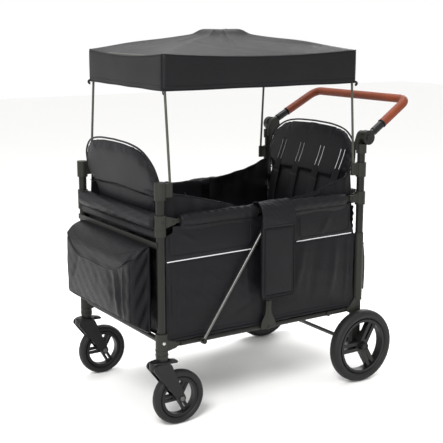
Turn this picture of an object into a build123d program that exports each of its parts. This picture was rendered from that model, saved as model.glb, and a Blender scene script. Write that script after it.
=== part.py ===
from build123d import *
from math import cos, radians, sin, tan
import os

# Folding push wagon with a canopy. Millimetres, +Z up, origin on the floor under the middle of the
# bounding box. -X is the front (swivel casters, storage bag), +X is the pushing end, -Y is its left side.

# overall layout
post_span = 890  # front posts to rear posts
front_reach = 122  # the storage bag stands this far in front of the front posts
rear_reach = 264  # the push handle reaches this far behind the rear posts
post_y = 308  # each post stands this far from the middle plane
overall_length = front_reach + post_span + rear_reach
front_x = front_reach - overall_length / 2
rear_x = front_x + post_span
mid_x = (front_x + rear_x) / 2
ends = (-1, 1)  # front, rear
sides = (-1, 1)  # left, right

# clearances
seat_gap = 0.3  # between faces that only lie next to each other
pin_clear = 0.06  # radial play of a shaft in its hole
fit_gap = 0.1  # radial gap of a sleeve on its tube

# frame tubes
post_r = 15
tube_wall = 1.5
front_post_top = 872
rear_post_top = 944
top_rail_z = 740
bottom_rail_z = 297
rail_r = 10
cross_r = 10
cross_low_z = 316
pivot_inset = 47  # post axis to rail pivot

# hinge lugs of the rails
lug_neck = 27  # pivot axis to the end of the tube
lug_r = 12
neck_half = 8
tongue_half = 5
plug_length = 12
pin_r = 4
cheek_inner = tongue_half + seat_gap

# layers outboard of the rails
post_bar_t = 8
post_bar_w = 20
layer_gap = 0.6
bar_y = post_y + rail_r + layer_gap
stay_r = 5.5
outer_stay_y = bar_y + post_bar_t + 0.9 + stay_r
inner_stay_y = post_y - rail_r - 3.5 - stay_r
stay_eye_half = 4
stay_eye_r = 10
stay_foot = 290  # centre hinge to the foot of each stay along the bottom rail
stay_top_drop = 26  # the stays end this far under the top rail
knob_r = 9
knob_t = 6

# brackets and collars on the posts
clamp_wall = 5
clamp_r = post_r + clamp_wall
clamp_height = 50
collar_height = 24
socket_height = 55
socket_inset = 40  # post axis to canopy pole axis
socket_r = 9
cap_t = 6
pole_r = 4.5
pole_depth = 44

# casters and front wheels
front_wheel_r = 100
front_wheel_w = 40
front_tyre_t = 27
front_rim_wall = 11
front_rim_r = front_wheel_r - front_tyre_t
front_open_r = front_rim_r - front_rim_wall
caster_trail = 64
housing_bottom = 255
housing_height = 90
housing_r = 22
stem_r = 6
fork_gap = 3
fork_t = 7
crown_bottom = 214
axle_r = 5

# rear wheels
rear_wheel_r = 146
rear_wheel_w = 50
rear_tyre_t = 37
rear_rim_wall = 10
rear_rim_r = rear_wheel_r - rear_tyre_t
rear_open_r = rear_rim_r - rear_rim_wall
rear_wheel_y = 336
rear_axle_r = 8
rear_stub_r = 6
leg_r = 18
leg_bottom = 330
leg_top = 600
leg_plate_outer = rear_wheel_y - rear_wheel_w / 2 - 3
leg_plate_inner = leg_plate_outer - 24
spoke_w = 34
spoke_slot_w = 9
spoke_turn = 60  # the first spoke stands this many degrees above the rearward line

# push handle
hub_back = 18  # hinge axis behind the rear post axis
hub_z = 974
hub_r = 28
hub_inner_y = 283
hub_split_y = 307
hub_outer_y = 331
arm_r = 13
grip_r = 17
bar_half = 289
bar_rise = 134
bend_r = 42
grip_start = 0.36  # share of the arm that the grip leaves bare
button_r = 12
button_proud = 4
button_travel = 3

# soft tub
panel_t = 3
panel_y = 311
panel_top = 718
panel_bottom = 324
end_panel_half = 282
floor_half = 281
floor_t = 4
floor_step = 0.4  # the ends sit this much lower, under the end panels
pad_r = 22
pad_start = 40
pad_stop = 86  # bare rail each side of the centre hinge
rail_pad_r = 28
rail_pad_half = 268

# seats
seat_half = 272
seat_depth = 235
seat_t = 40
seat_top = 510
back_half = 282
back_base_half = 238
back_t = 30
back_tilt = 7
front_back_top = 994
rear_back_top = 1016
strap_t = 4
strap_w = 38
strap_ys = (-215, -85, 55, 180)
strap_top = 930
strap_bottom = 560

# bags
bag_half = 275
bag_top = 668
bag_front_bottom = 384
bag_back_bottom = 332
bag_wall = 4
flap_t = 4
flap_drop = 95
bag_round = 45
pouch_half = 262
pouch_wall = 4
pouch_depth = 110
pouch_top = 545
pouch_bottom = 338
pocket_x = mid_x + 20
pocket_w = 146
pocket_top = 690
pocket_bottom = 412
pocket_t = 21
saddle_w = 152
saddle_t = 6
strap_bar_z = 661
strap_bar_h = 20
strap_bar_t = 4

# canopy
canopy_half_length = 416
canopy_half_width = 324
canopy_skew = 20  # the slim poles let the left edge sit this far forward and the right edge as far back
valance_bottom = 1186
valance_top = 1306
peak_z = 1381
peak_half = 62
cloth_t = 3
edge_r = 6
edge_inset = 11.6
pole_knee_up = 12  # the poles stand upright from this far above the hem


def span(side, near, far):
    """Low and high Y of a layer between two distances from the middle plane."""
    return min(side * near, side * far), max(side * near, side * far)


def plate_plane(high_y):
    """A plane whose x is +X and y is +Z, extruding towards -Y."""
    return Plane(origin=(0, high_y, 0), x_dir=(1, 0, 0), z_dir=(0, -1, 0))


def rod(start, end, radius, mode=Mode.ADD):
    """Round bar between two points."""
    run = Vector(*end) - Vector(*start)
    with BuildSketch(Plane(origin=start, z_dir=run)) as section:
        Circle(radius)
    extrude(section.sketch, amount=run.length, mode=mode)


def tube(start, end, radius, bore):
    rod(start, end, radius)
    rod(start, end, bore, Mode.SUBTRACT)


def disc(x, z, radius, low_y, high_y, mode=Mode.ADD):
    rod((x, low_y, z), (x, high_y, z), radius, mode)


def block(low, high, mode=Mode.ADD):
    """Box between two corners."""
    with BuildSketch(Plane.XY.offset(low[2])) as section:
        with Locations(((low[0] + high[0]) / 2, (low[1] + high[1]) / 2)):
            Rectangle(high[0] - low[0], high[1] - low[1])
    extrude(section.sketch, amount=high[2] - low[2], mode=mode)


def lug(x, z, reach, low_y, high_y, hole_r):
    """Flat hinge leaf: a disc round the pivot and a neck towards reach, with the pin hole."""
    with BuildSketch(plate_plane(high_y)) as leaf:
        with Locations((x, z)):
            Circle(lug_r)
        with Locations((x + reach / 2, z)):
            Rectangle(abs(reach), 2 * neck_half)
        if hole_r:
            with Locations((x, z)):
                Circle(hole_r, mode=Mode.SUBTRACT)
    extrude(leaf.sketch, amount=high_y - low_y)


def rail(x_low, x_high, z, y, low_kind, high_kind):
    """Tube between two pivots, with a tongue or a pair of cheeks at each end; the bore stops at the plugs."""
    rod((x_low + lug_neck, y, z), (x_high - lug_neck, y, z), rail_r)
    inner_low = x_low + lug_neck + plug_length
    inner_high = x_high - lug_neck - plug_length
    rod((inner_low, y, z), (inner_high, y, z), rail_r - tube_wall, Mode.SUBTRACT)
    for x, kind, way in ((x_low, low_kind, 1), (x_high, high_kind, -1)):
        if kind == "tongue":
            lug(x, z, way * (lug_neck + 1), y - tongue_half, y + tongue_half, pin_r + pin_clear)
        else:
            lug(x, z, way * (lug_neck + 1), y - rail_r, y - cheek_inner, pin_r)
            lug(x, z, way * (lug_neck + 1), y + cheek_inner, y + rail_r, pin_r)
            disc(x, z, pin_r, y - rail_r, y + rail_r)


def finish(part, name):
    part.part.label = name
    export_step(part.part, f"parts/{name}.step")


def post_name(end, side):
    return f"{'front' if end < 0 else 'rear'}_post_{'left' if side < 0 else 'right'}"


def side_name(stem, side):
    return f"{stem}_{'left' if side < 0 else 'right'}"


def end_x(end):
    return front_x if end < 0 else rear_x


def pivot_x(end):
    return end_x(end) - end * pivot_inset


# --- posts -----------------------------------------------------------------------------------------
front_post_bottom = housing_bottom + housing_height - 40
for end in ends:
    for side in sides:
        low = front_post_bottom if end < 0 else leg_bottom + 40
        high = front_post_top if end < 0 else rear_post_top
        with BuildPart() as post:
            tube((end_x(end), side * post_y, low), (end_x(end), side * post_y, high), post_r, post_r - tube_wall)
        finish(post, post_name(end, side))

# --- cross tubes -----------------------------------------------------------------------------------
def cross_tube(x, z, neighbour_y):
    """Tube across the wagon that ends just short of what carries it."""
    half = neighbour_y - fit_gap
    tube((x, -half, z), (x, half, z), cross_r, cross_r - tube_wall)


front_strap_x = front_x - post_r - seat_gap
with BuildPart() as front_cross_tubes:
    cross_tube(front_x, top_rail_z, post_y - post_r)
    cross_tube(front_x, cross_low_z, post_y - housing_r)
    block(
        (front_strap_x - strap_bar_t, -post_y - 6, strap_bar_z - strap_bar_h / 2),
        (front_strap_x, post_y + 6, strap_bar_z + strap_bar_h / 2),
    )
finish(front_cross_tubes, "front_cross_tubes")

with BuildPart() as rear_cross_tubes:
    cross_tube(rear_x, top_rail_z, post_y - post_r)
    cross_tube(rear_x, cross_low_z, leg_plate_inner)
finish(rear_cross_tubes, "rear_cross_tubes")


# --- brackets that carry the rail pivots -------------------------------------------------------------
def clevis(end, side, z, collar_bottom, collar_top, radius):
    """Two cheeks from a post collar to the rail pivot, joined by the collar, with the pin between them."""
    x = pivot_x(end)
    y = side * post_y
    reach = pivot_inset - radius + 6
    for low_y, high_y in ((y - rail_r, y - cheek_inner), (y + cheek_inner, y + rail_r)):
        with BuildSketch(plate_plane(high_y)) as cheek:
            with BuildLine():
                Polyline(
                    (x, z + lug_r),
                    (x + end * reach, collar_top - 4),
                    (x + end * reach, collar_bottom + 4),
                    (x, z - lug_r),
                    close=True,
                )
            make_face()
            with Locations((x, z)):
                Circle(lug_r)
        extrude(cheek.sketch, amount=high_y - low_y)
    disc(x, z, pin_r, y - rail_r, y + rail_r)


def clamp(end, side, low_z, high_z, radius=clamp_r):
    """Round collar on a post, still without its bore."""
    rod((end_x(end), side * post_y, low_z), (end_x(end), side * post_y, high_z), radius)


def bore_post(end, side, low_z, high_z, bore):
    rod((end_x(end), side * post_y, low_z - 1), (end_x(end), side * post_y, high_z + 1), bore, Mode.SUBTRACT)


bracket_low = top_rail_z - clamp_height / 2
bracket_high = top_rail_z + clamp_height / 2
collar_low = bracket_low - seat_gap - collar_height
for end in ends:
    with BuildPart() as brackets:
        for side in sides:
            clamp(end, side, bracket_low, bracket_high)
            clevis(end, side, top_rail_z, bracket_low, bracket_high, clamp_r)
            bore_post(end, side, bracket_low, bracket_high, post_r + fit_gap)
            low_y, high_y = span(side, post_y - clamp_r - 1, post_y - post_r)
            disc(end_x(end), top_rail_z, cross_r + fit_gap, low_y, high_y, Mode.SUBTRACT)
            if end < 0:
                # locking collar under the bracket
                clamp(end, side, collar_low, bracket_low - seat_gap)
                bore_post(end, side, collar_low, bracket_low - seat_gap, post_r + fit_gap)
    finish(brackets, f"{'front' if end < 0 else 'rear'}_rail_brackets")


# --- canopy sockets ----------------------------------------------------------------------------------
def pole_x(end):
    return end_x(end) - end * socket_inset


def canopy_socket(end, side, top_z):
    low_z = top_z - socket_height
    clamp(end, side, low_z, top_z + (cap_t if end < 0 else 0))
    block_low = min(end_x(end), pole_x(end))
    block_high = max(end_x(end), pole_x(end))
    block((block_low, side * post_y - 8, low_z + 8), (block_high, side * post_y + 8, top_z))
    rod((pole_x(end), side * post_y, low_z + 8), (pole_x(end), side * post_y, top_z), socket_r)
    rod(
        (pole_x(end), side * post_y, top_z - pole_depth),
        (pole_x(end), side * post_y, top_z + 1),
        pole_r + 2 * fit_gap,
        Mode.SUBTRACT,
    )
    bore_post(end, side, low_z - 2, top_z if end > 0 else front_post_top - 1, post_r + fit_gap)


front_socket_top = front_post_top + seat_gap
rear_socket_top = 878
for end, top_z in ((-1, front_socket_top), (1, rear_socket_top)):
    with BuildPart() as sockets:
        for side in sides:
            canopy_socket(end, side, top_z)
    finish(sockets, f"{'front' if end < 0 else 'rear'}_canopy_sockets")

# --- caster housings ---------------------------------------------------------------------------------
housing_top = housing_bottom + housing_height
with BuildPart() as caster_housings:
    for side in sides:
        clamp(-1, side, housing_bottom, housing_top, housing_r)
        clevis(-1, side, bottom_rail_z, housing_bottom + 20, housing_top - 20, housing_r)
        bore_post(-1, side, front_post_bottom + 1, housing_top, post_r + fit_gap)
        rod((front_x, side * post_y, housing_bottom - 1), (front_x, side * post_y, front_post_bottom + 1),
            stem_r + pin_clear, Mode.SUBTRACT)
finish(caster_housings, "caster_housings")

# --- caster forks, axles, lock levers ------------------------------------------------------------------
wheel_x = front_x + caster_trail
leg_inner = front_wheel_w / 2 + fork_gap
crown_top = housing_bottom - seat_gap
lever_pivot = (front_x + 30, 238)
for side in sides:
    y = side * post_y
    with BuildPart() as fork:
        # crown: a rounded nose in front of the stem, level with the top of the wheel guard
        with BuildSketch(Plane.XY.offset(crown_bottom)) as crown:
            with Locations((front_x, y)):
                Circle(leg_inner + fork_t)
            with Locations((front_x - 24, y)):
                Circle(leg_inner + fork_t - 6)
            make_hull()
        extrude(crown.sketch, amount=crown_top - 8 - crown_bottom)
        fillet(fork.edges().group_by(Axis.Z)[-1], 7)
        rod((front_x, y, crown_bottom), (front_x, y, crown_top), clamp_r)
        rod((front_x, y, crown_top), (front_x, y, front_post_bottom - 2), stem_r)
        for low_y, high_y in ((y - leg_inner - fork_t, y - leg_inner), (y + leg_inner, y + leg_inner + fork_t)):
            with BuildSketch(plate_plane(high_y)) as leg:
                with Locations((wheel_x, front_wheel_r)):
                    Circle(15)
                with Locations((front_x - 30, crown_bottom + 10)):
                    Circle(16)
                with Locations((front_x + 10, crown_bottom + 10)):
                    Circle(16)
                make_hull()
            extrude(leg.sketch, amount=high_y - low_y)
        # the wheel runs under the crown with this much room
        disc(wheel_x, front_wheel_r, front_wheel_r + 5, y - leg_inner, y + leg_inner, Mode.SUBTRACT)
        disc(wheel_x, front_wheel_r, axle_r + fit_gap, y - leg_inner - fork_t - 1, y + leg_inner + fork_t + 1,
             Mode.SUBTRACT)
        block((lever_pivot[0] - 14, y - 13, crown_bottom + 8), (lever_pivot[0] + 20, y + 13, crown_top + 2),
              Mode.SUBTRACT)
        disc(lever_pivot[0], lever_pivot[1], 3, y - 14, y + 14)
    finish(fork, side_name("caster_fork", side))

    with BuildPart() as axle:
        outer = leg_inner + fork_t + seat_gap
        disc(wheel_x, front_wheel_r, axle_r, y - outer, y + outer)
        disc(wheel_x, front_wheel_r, 9, y - outer - 4, y - outer)
        disc(wheel_x, front_wheel_r, 9, y + outer, y + outer + 4)
        fillet(axle.edges().group_by(Axis.Y)[0] + axle.edges().group_by(Axis.Y)[-1], 1.5)
    finish(axle, side_name("front_axle", side))

    with BuildPart() as lever:
        with BuildSketch(plate_plane(y + 11)) as tab:
            with Locations(lever_pivot):
                Circle(7)
            with Locations((lever_pivot[0] + 24, lever_pivot[1] - 3)):
                Circle(5)
            make_hull()
            with Locations(lever_pivot):
                Circle(3 + pin_clear, mode=Mode.SUBTRACT)
        extrude(tab.sketch, amount=22)
    finish(lever, side_name("swivel_lock_lever", side))


# --- wheels ------------------------------------------------------------------------------------------
def wheel_rim(x, z, y, outer_r, open_r, width, bore_r, hub_r_now, hub_half):
    """Ring, hub and three double spokes; each spoke is a bar with a slot through it."""
    ring_half = width / 2 - 7
    web_half = width / 2 - 13
    with BuildSketch(plate_plane(y + ring_half)) as ring:
        with Locations((x, z)):
            Circle(outer_r)
            Circle(open_r, mode=Mode.SUBTRACT)
    extrude(ring.sketch, amount=2 * ring_half)
    with BuildSketch(plate_plane(y + web_half)) as web:
        with Locations((x, z)):
            Circle(hub_r_now + 3)
        for k in range(3):
            angle = spoke_turn + 120 * k
            middle = (open_r + 2) / 2
            with Locations(Location((x + middle * cos(radians(angle)), z + middle * sin(radians(angle))), angle)):
                Rectangle(open_r + 4, spoke_w * open_r / rear_open_r + 4)
    extrude(web.sketch, amount=2 * web_half)
    with BuildSketch(plate_plane(y + ring_half)) as slots:
        for k in range(3):
            angle = spoke_turn + 120 * k
            middle = (hub_r_now + 6 + open_r) / 2
            with Locations(Location((x + middle * cos(radians(angle)), z + middle * sin(radians(angle))), angle)):
                SlotOverall(open_r - hub_r_now - 10, spoke_slot_w * open_r / rear_open_r + 1)
    extrude(slots.sketch, amount=2 * ring_half, mode=Mode.SUBTRACT)
    disc(x, z, hub_r_now, y - hub_half, y + hub_half)
    disc(x, z, bore_r, y - hub_half - 1, y + hub_half + 1, Mode.SUBTRACT)


def tyre(x, z, y, outer_r, inner_r, width):
    """Ring with a round shouldered tread, turned about the axle line."""
    half = width / 2
    shoulder = min(half - 2, (outer_r - inner_r) * 0.55)
    axle_plane = Plane(origin=(x, y, z), x_dir=(0, 1, 0), z_dir=(1, 0, 0))
    with BuildSketch(axle_plane) as section:
        with BuildLine():
            base = Polyline((half - 6, inner_r), (-half + 6, inner_r))
            Line(base @ 1, (-half, inner_r + 6))
            Line((-half, inner_r + 6), (-half, outer_r - shoulder))
            crown = ThreePointArc((-half, outer_r - shoulder), (0, outer_r), (half, outer_r - shoulder))
            Line(crown @ 1, (half, inner_r + 6))
            Line((half, inner_r + 6), base @ 0)
        make_face()
    revolve(section.sketch, axis=Axis((x, y, z), (0, 1, 0)))


for side in sides:
    y = side * post_y
    with BuildPart() as rim:
        wheel_rim(wheel_x, front_wheel_r, y, front_rim_r, front_open_r, front_wheel_w, axle_r + pin_clear, 14,
                  front_wheel_w / 2 + 1)
    finish(rim, side_name("front_rim", side))
    with BuildPart() as tread:
        tyre(wheel_x, front_wheel_r, y, front_wheel_r, front_rim_r + fit_gap, front_wheel_w)
    finish(tread, side_name("front_tyre", side))

    y = side * rear_wheel_y
    with BuildPart() as rim:
        wheel_rim(rear_x, rear_wheel_r, y, rear_rim_r, rear_open_r, rear_wheel_w, rear_stub_r + pin_clear, 19,
                  rear_wheel_w / 2 - 1)
        # cap over the axle end
        cap_low, cap_high = span(side, rear_wheel_y + rear_wheel_w / 2 - 1, rear_wheel_y + rear_wheel_w / 2 + 3)
        disc(rear_x, rear_wheel_r, 17, cap_low, cap_high)
    finish(rim, side_name("rear_rim", side))
    with BuildPart() as tread:
        tyre(rear_x, rear_wheel_r, y, rear_wheel_r, rear_rim_r + fit_gap, rear_wheel_w)
    finish(tread, side_name("rear_tyre", side))

# --- rear legs and axle --------------------------------------------------------------------------------
with BuildPart() as rear_leg_sleeves:
    for side in sides:
        rod((rear_x, side * post_y, leg_bottom), (rear_x, side * post_y, leg_top), leg_r)
        clevis(1, side, bottom_rail_z, leg_bottom - 50, leg_bottom + 24, leg_r)
        low_y, high_y = span(side, leg_plate_inner, leg_plate_outer)
        with BuildSketch(plate_plane(high_y)) as drop:
            with Locations((rear_x, rear_wheel_r)):
                Circle(20)
            with Locations((rear_x, leg_bottom + 14)):
                Rectangle(2 * leg_r, 30)
            make_hull()
        extrude(drop.sketch, amount=high_y - low_y)
        bore_post(1, side, leg_bottom + 41, leg_top, post_r + fit_gap)
        disc(rear_x, rear_wheel_r, rear_axle_r + fit_gap, low_y - 1, high_y + 1, Mode.SUBTRACT)
finish(rear_leg_sleeves, "rear_leg_sleeves")

with BuildPart() as rear_axle:
    disc(rear_x, rear_wheel_r, rear_axle_r, -leg_plate_outer - 1, leg_plate_outer + 1)
    stub_end = rear_wheel_y + rear_wheel_w / 2 - 1 - seat_gap
    disc(rear_x, rear_wheel_r, rear_stub_r, -stub_end, stub_end)
finish(rear_axle, "rear_axle")

# foot brake on the axle tube, next to the left leg
brake_low, brake_high = -leg_plate_inner + 4, -leg_plate_inner + 44
with BuildPart() as brake_pedal:
    disc(rear_x, rear_wheel_r, 15, brake_low, brake_high)
    with BuildSketch(plate_plane(brake_high)) as arm:
        with BuildLine():
            Polyline(
                (rear_x + 8, rear_wheel_r + 11),
                (rear_x + 62, rear_wheel_r + 30),
                (rear_x + 66, rear_wheel_r + 22),
                (rear_x + 12, rear_wheel_r - 6),
                close=True,
            )
        make_face()
    extrude(arm.sketch, amount=brake_high - brake_low)
    disc(rear_x, rear_wheel_r, rear_axle_r + pin_clear, brake_low - 1, brake_high + 1, Mode.SUBTRACT)
finish(brake_pedal, "brake_pedal")

# --- rails ---------------------------------------------------------------------------------------------
for level, z in (("top", top_rail_z), ("bottom", bottom_rail_z)):
    for end in ends:
        with BuildPart() as rails:
            for side in sides:
                y = side * post_y
                if end < 0:
                    rail(pivot_x(-1), mid_x, z, y, "tongue", "cheeks")
                else:
                    rail(mid_x, pivot_x(1), z, y, "tongue", "tongue")
                if level == "bottom":
                    # pin and knob at the foot of the stay
                    foot_x = mid_x + end * stay_foot
                    stay_y = outer_stay_y if end < 0 else inner_stay_y
                    pin_far = stay_y + (stay_eye_half + 2 if end < 0 else -stay_eye_half - 2)
                    low_y, high_y = span(side, post_y + (rail_r - 4 if end < 0 else -rail_r + 4), pin_far)
                    disc(foot_x, z, pin_r, low_y, high_y)
                    if end > 0:
                        low_y, high_y = span(side, post_y + rail_r - 4, post_y + rail_r + 5)
                        disc(foot_x, z, knob_r, low_y, high_y)
                    else:
                        low_y, high_y = span(side, pin_far, pin_far + knob_t)
                        disc(foot_x, z, knob_r, low_y, high_y)
        finish(rails, f"{level}_rails_{'front' if end < 0 else 'rear'}")

# padded sleeves on the top rails
for end in ends:
    with BuildPart() as sleeves:
        for side in sides:
            outer = pivot_x(end) - end * pad_start
            inner = mid_x + end * pad_stop
            y = side * post_y
            rod((outer, y, top_rail_z), (inner, y, top_rail_z), pad_r)
            rod((outer, y, top_rail_z), (inner, y, top_rail_z), rail_r + fit_gap, Mode.SUBTRACT)
    finish(sleeves, f"top_rail_pads_{'front' if end < 0 else 'rear'}")

# --- centre posts and stays ------------------------------------------------------------------------------
with BuildPart() as centre_posts:
    for side in sides:
        low_y, high_y = span(side, bar_y, bar_y + post_bar_t)
        with BuildSketch(plate_plane(high_y)) as bar:
            for z in (bottom_rail_z, top_rail_z):
                with Locations((mid_x, z)):
                    Circle(lug_r)
            with Locations((mid_x, (bottom_rail_z + top_rail_z) / 2)):
                Rectangle(post_bar_w, top_rail_z - bottom_rail_z)
        extrude(bar.sketch, amount=high_y - low_y)
finish(centre_posts, "centre_posts")

for end in ends:
    with BuildPart() as stays:
        for side in sides:
            y = side * (outer_stay_y if end < 0 else inner_stay_y)
            foot = Vector(mid_x + end * stay_foot, y, bottom_rail_z)
            top = Vector(mid_x + end * 4, y, top_rail_z - stay_top_drop)
            way = (top - foot).normalized()
            rod(tuple(foot + way * stay_eye_r * 0.8), tuple(top), stay_r)
            disc(foot.X, foot.Z, stay_eye_r, y - stay_eye_half, y + stay_eye_half)
            disc(foot.X, foot.Z, pin_r + pin_clear, y - 9, y + 9, Mode.SUBTRACT)
    finish(stays, f"diagonal_stays_{'front' if end < 0 else 'rear'}")

# --- push handle -------------------------------------------------------------------------------------------
hub_x = rear_x + hub_back
bar_x = rear_x + rear_reach - grip_r
bar_z = hub_z + bar_rise
arm_y = (hub_split_y + hub_outer_y) / 2


def handle_path():
    """Left arm, push bar and right arm as one line with round bends."""
    return FilletPolyline(
        (hub_x, -arm_y, hub_z),
        (bar_x, -bar_half, bar_z),
        (bar_x, bar_half, bar_z),
        (hub_x, arm_y, hub_z),
        radius=bend_r,
    )


with BuildPart() as handle_hubs:
    for side in sides:
        low_y, high_y = span(side, hub_inner_y, hub_split_y - seat_gap)
        disc(hub_x, hub_z, hub_r - 3, low_y, high_y)
        rod((rear_x, side * post_y, rear_post_top - 30), (rear_x, side * post_y, rear_post_top + 5), clamp_r)
        with BuildSketch(plate_plane(high_y)) as neck:
            with Locations((hub_x, hub_z)):
                Circle(hub_r - 3)
            with Locations((rear_x, rear_post_top - 5)):
                Rectangle(2 * clamp_r - 8, 30)
            make_hull()
        extrude(neck.sketch, amount=high_y - low_y)
        # room for the turning hub
        low_y, high_y = span(side, hub_split_y - seat_gap, hub_outer_y + 2)
        disc(hub_x, hub_z, hub_r + 2, low_y, high_y, Mode.SUBTRACT)
        bore_post(1, side, rear_post_top - 60, rear_post_top - 1, post_r + fit_gap)
finish(handle_hubs, "handle_hubs")

with BuildPart() as handle_tube:
    with BuildLine() as arm_line:
        handle_path()
    with BuildSketch(Plane(origin=arm_line.line @ 0, z_dir=arm_line.line % 0)):
        Circle(arm_r)
    sweep()
    for side in sides:
        low_y, high_y = span(side, hub_split_y, hub_outer_y)
        disc(hub_x, hub_z, hub_r, low_y, high_y)
        # recess for the release button
        low_y, high_y = span(side, hub_outer_y - 9, hub_outer_y + 1)
        disc(hub_x, hub_z, button_r + 2 * fit_gap, low_y, high_y, Mode.SUBTRACT)
        low_y, high_y = span(side, hub_split_y - 20, hub_split_y)
        disc(hub_x, hub_z, hub_r + 4, low_y, high_y, Mode.SUBTRACT)
finish(handle_tube, "handle_tube")

with BuildPart() as handle_grip:
    with BuildLine(mode=Mode.PRIVATE) as full_line:
        handle_path()
    path = full_line.wires()[0]
    arm_share = (Vector(bar_x, bar_half, bar_z) - Vector(hub_x, arm_y, hub_z)).length / path.length
    cut = arm_share * grip_start
    trimmed = path.trim(cut, 1 - cut)
    with BuildSketch(Plane(origin=trimmed @ 0, z_dir=trimmed % 0)) as grip_ring:
        Circle(grip_r)
        Circle(arm_r + fit_gap, mode=Mode.SUBTRACT)
    sweep(grip_ring.sketch, path=trimmed)
finish(handle_grip, "handle_grip")

for side in sides:
    with BuildPart() as button:
        low_y, high_y = span(side, hub_outer_y - 9 + button_travel + seat_gap, hub_outer_y + button_proud)
        disc(hub_x, hub_z, button_r, low_y, high_y)
        outer_rim = button.edges().group_by(Axis.Y)[0 if side < 0 else -1]
        fillet(outer_rim, 1.5)
    finish(button, side_name("handle_button", side))


# --- canopy ----------------------------------------------------------------------------------------------
def canopy_point(end, side, inset, z):
    """Corner of the roof outline, moved in by inset."""
    x = mid_x + end * (canopy_half_length - inset) + side * canopy_skew
    return (x, side * (canopy_half_width - inset), z)


def outline(inset, z):
    with BuildSketch(Plane.XY.offset(z)) as sheet:
        with BuildLine():
            corners = [canopy_point(e, s, inset, 0)[:2] for e, s in ((-1, -1), (1, -1), (1, 1), (-1, 1))]
            Polyline(*corners, close=True)
        make_face()
        fillet(sheet.vertices(), 10)
    return sheet.sketch


def peak(inset, z):
    with BuildSketch(Plane.XY.offset(z)) as sheet:
        with Locations((mid_x, 0)):
            RectangleRounded(2 * (peak_half - inset), 2 * (peak_half - inset) * 0.8, 10)
    return sheet.sketch


with BuildPart() as canopy_roof:
    extrude(outline(0, valance_bottom), amount=valance_top - valance_bottom)
    loft([outline(0, valance_top), peak(0, peak_z)])
    extrude(outline(cloth_t, valance_bottom - 1), amount=valance_top - valance_bottom + 1, mode=Mode.SUBTRACT)
    loft([outline(cloth_t, valance_top), peak(cloth_t, peak_z - cloth_t)], mode=Mode.SUBTRACT)
finish(canopy_roof, "canopy_roof")

edge_z = valance_top - cloth_t - edge_r - 4
for end in ends:
    with BuildPart() as poles:
        for side in sides:
            top_z = front_socket_top if end < 0 else rear_socket_top
            base = (pole_x(end), side * post_y, top_z - pole_depth + 1)
            mouth = (pole_x(end), side * post_y, top_z + 2)
            head = canopy_point(end, side, edge_inset, edge_z)
            knee = (head[0], head[1], valance_bottom + pole_knee_up)
            rod(base, mouth, pole_r)
            rod(mouth, knee, pole_r)
            rod(knee, head, pole_r)
            rod((knee[0], knee[1], knee[2] - 8), (knee[0], knee[1], knee[2] + 8), pole_r + 1.5)
            rod((head[0], head[1], edge_z - 14), (head[0], head[1], edge_z + 7), edge_r + 1.5)
        left = canopy_point(end, -1, edge_inset, edge_z)
        right = canopy_point(end, 1, edge_inset, edge_z)
        rod(left, right, edge_r)
    finish(poles, f"canopy_poles_{'front' if end < 0 else 'rear'}")

# --- soft tub --------------------------------------------------------------------------------------------
for side in sides:
    low_y, high_y = span(side, panel_y, panel_y + panel_t)
    edge = post_span / 2 - post_r - seat_gap
    with BuildPart() as panel:
        with BuildSketch(plate_plane(high_y)) as cloth:
            with BuildLine():
                right_half = [
                    (edge - 60, panel_bottom),
                    (edge - 60, housing_top + 10),
                    (edge, housing_top + 10),
                    (edge, collar_low - 4),
                    (edge - 44, collar_low - 4),
                    (edge - 44, panel_top),
                ]
                left_half = [(-x, z) for x, z in reversed(right_half)]
                Polyline(*[(mid_x + x, z) for x, z in right_half + left_half], close=True)
            make_face()
        extrude(cloth.sketch, amount=panel_t)
        leg = (rear_x, side * post_y)
        rod((*leg, housing_top), (*leg, leg_top + 1), leg_r + seat_gap, Mode.SUBTRACT)
    finish(panel, side_name("side_panel", side))

with BuildPart() as floor_mat:
    floor_z = cross_low_z + cross_r + seat_gap
    block((front_x + 6, -floor_half, floor_z), (rear_x - 6, floor_half, floor_z + floor_t - floor_step))
    inset = post_r + 1 + seat_gap
    block((front_x + inset, -floor_half, floor_z), (rear_x - inset, floor_half, floor_z + floor_t))
finish(floor_mat, "floor_mat")

for end in ends:
    with BuildPart() as end_panel:
        face_x = end_x(end) - end * (post_r + 1)
        low_x, high_x = min(face_x, face_x + end * panel_t), max(face_x, face_x + end * panel_t)
        block((low_x, -end_panel_half, floor_z + floor_t + seat_gap),
              (high_x, end_panel_half, top_rail_z - rail_pad_r - 2))
    finish(end_panel, f"{'front' if end < 0 else 'rear'}_end_panel")



def rail_sleeve(x, radius):
    """Padded roll round a top cross tube."""
    rod((x, -rail_pad_half, top_rail_z), (x, rail_pad_half, top_rail_z), radius)
    rod((x, -rail_pad_half - 20, top_rail_z), (x, rail_pad_half + 20, top_rail_z), cross_r + fit_gap, Mode.SUBTRACT)


with BuildPart() as front_rail_pad:
    rail_sleeve(front_x, rail_pad_r)
finish(front_rail_pad, "front_rail_pad")


# --- seats -------------------------------------------------------------------------------------------------
def back_face_x(end, z):
    """Outer face of a seat back, which leans outward and passes the inside of the rail pad."""
    return end_x(end) - end * (rail_pad_r + 1) + end * (z - top_rail_z) * tan(radians(back_tilt))


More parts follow.
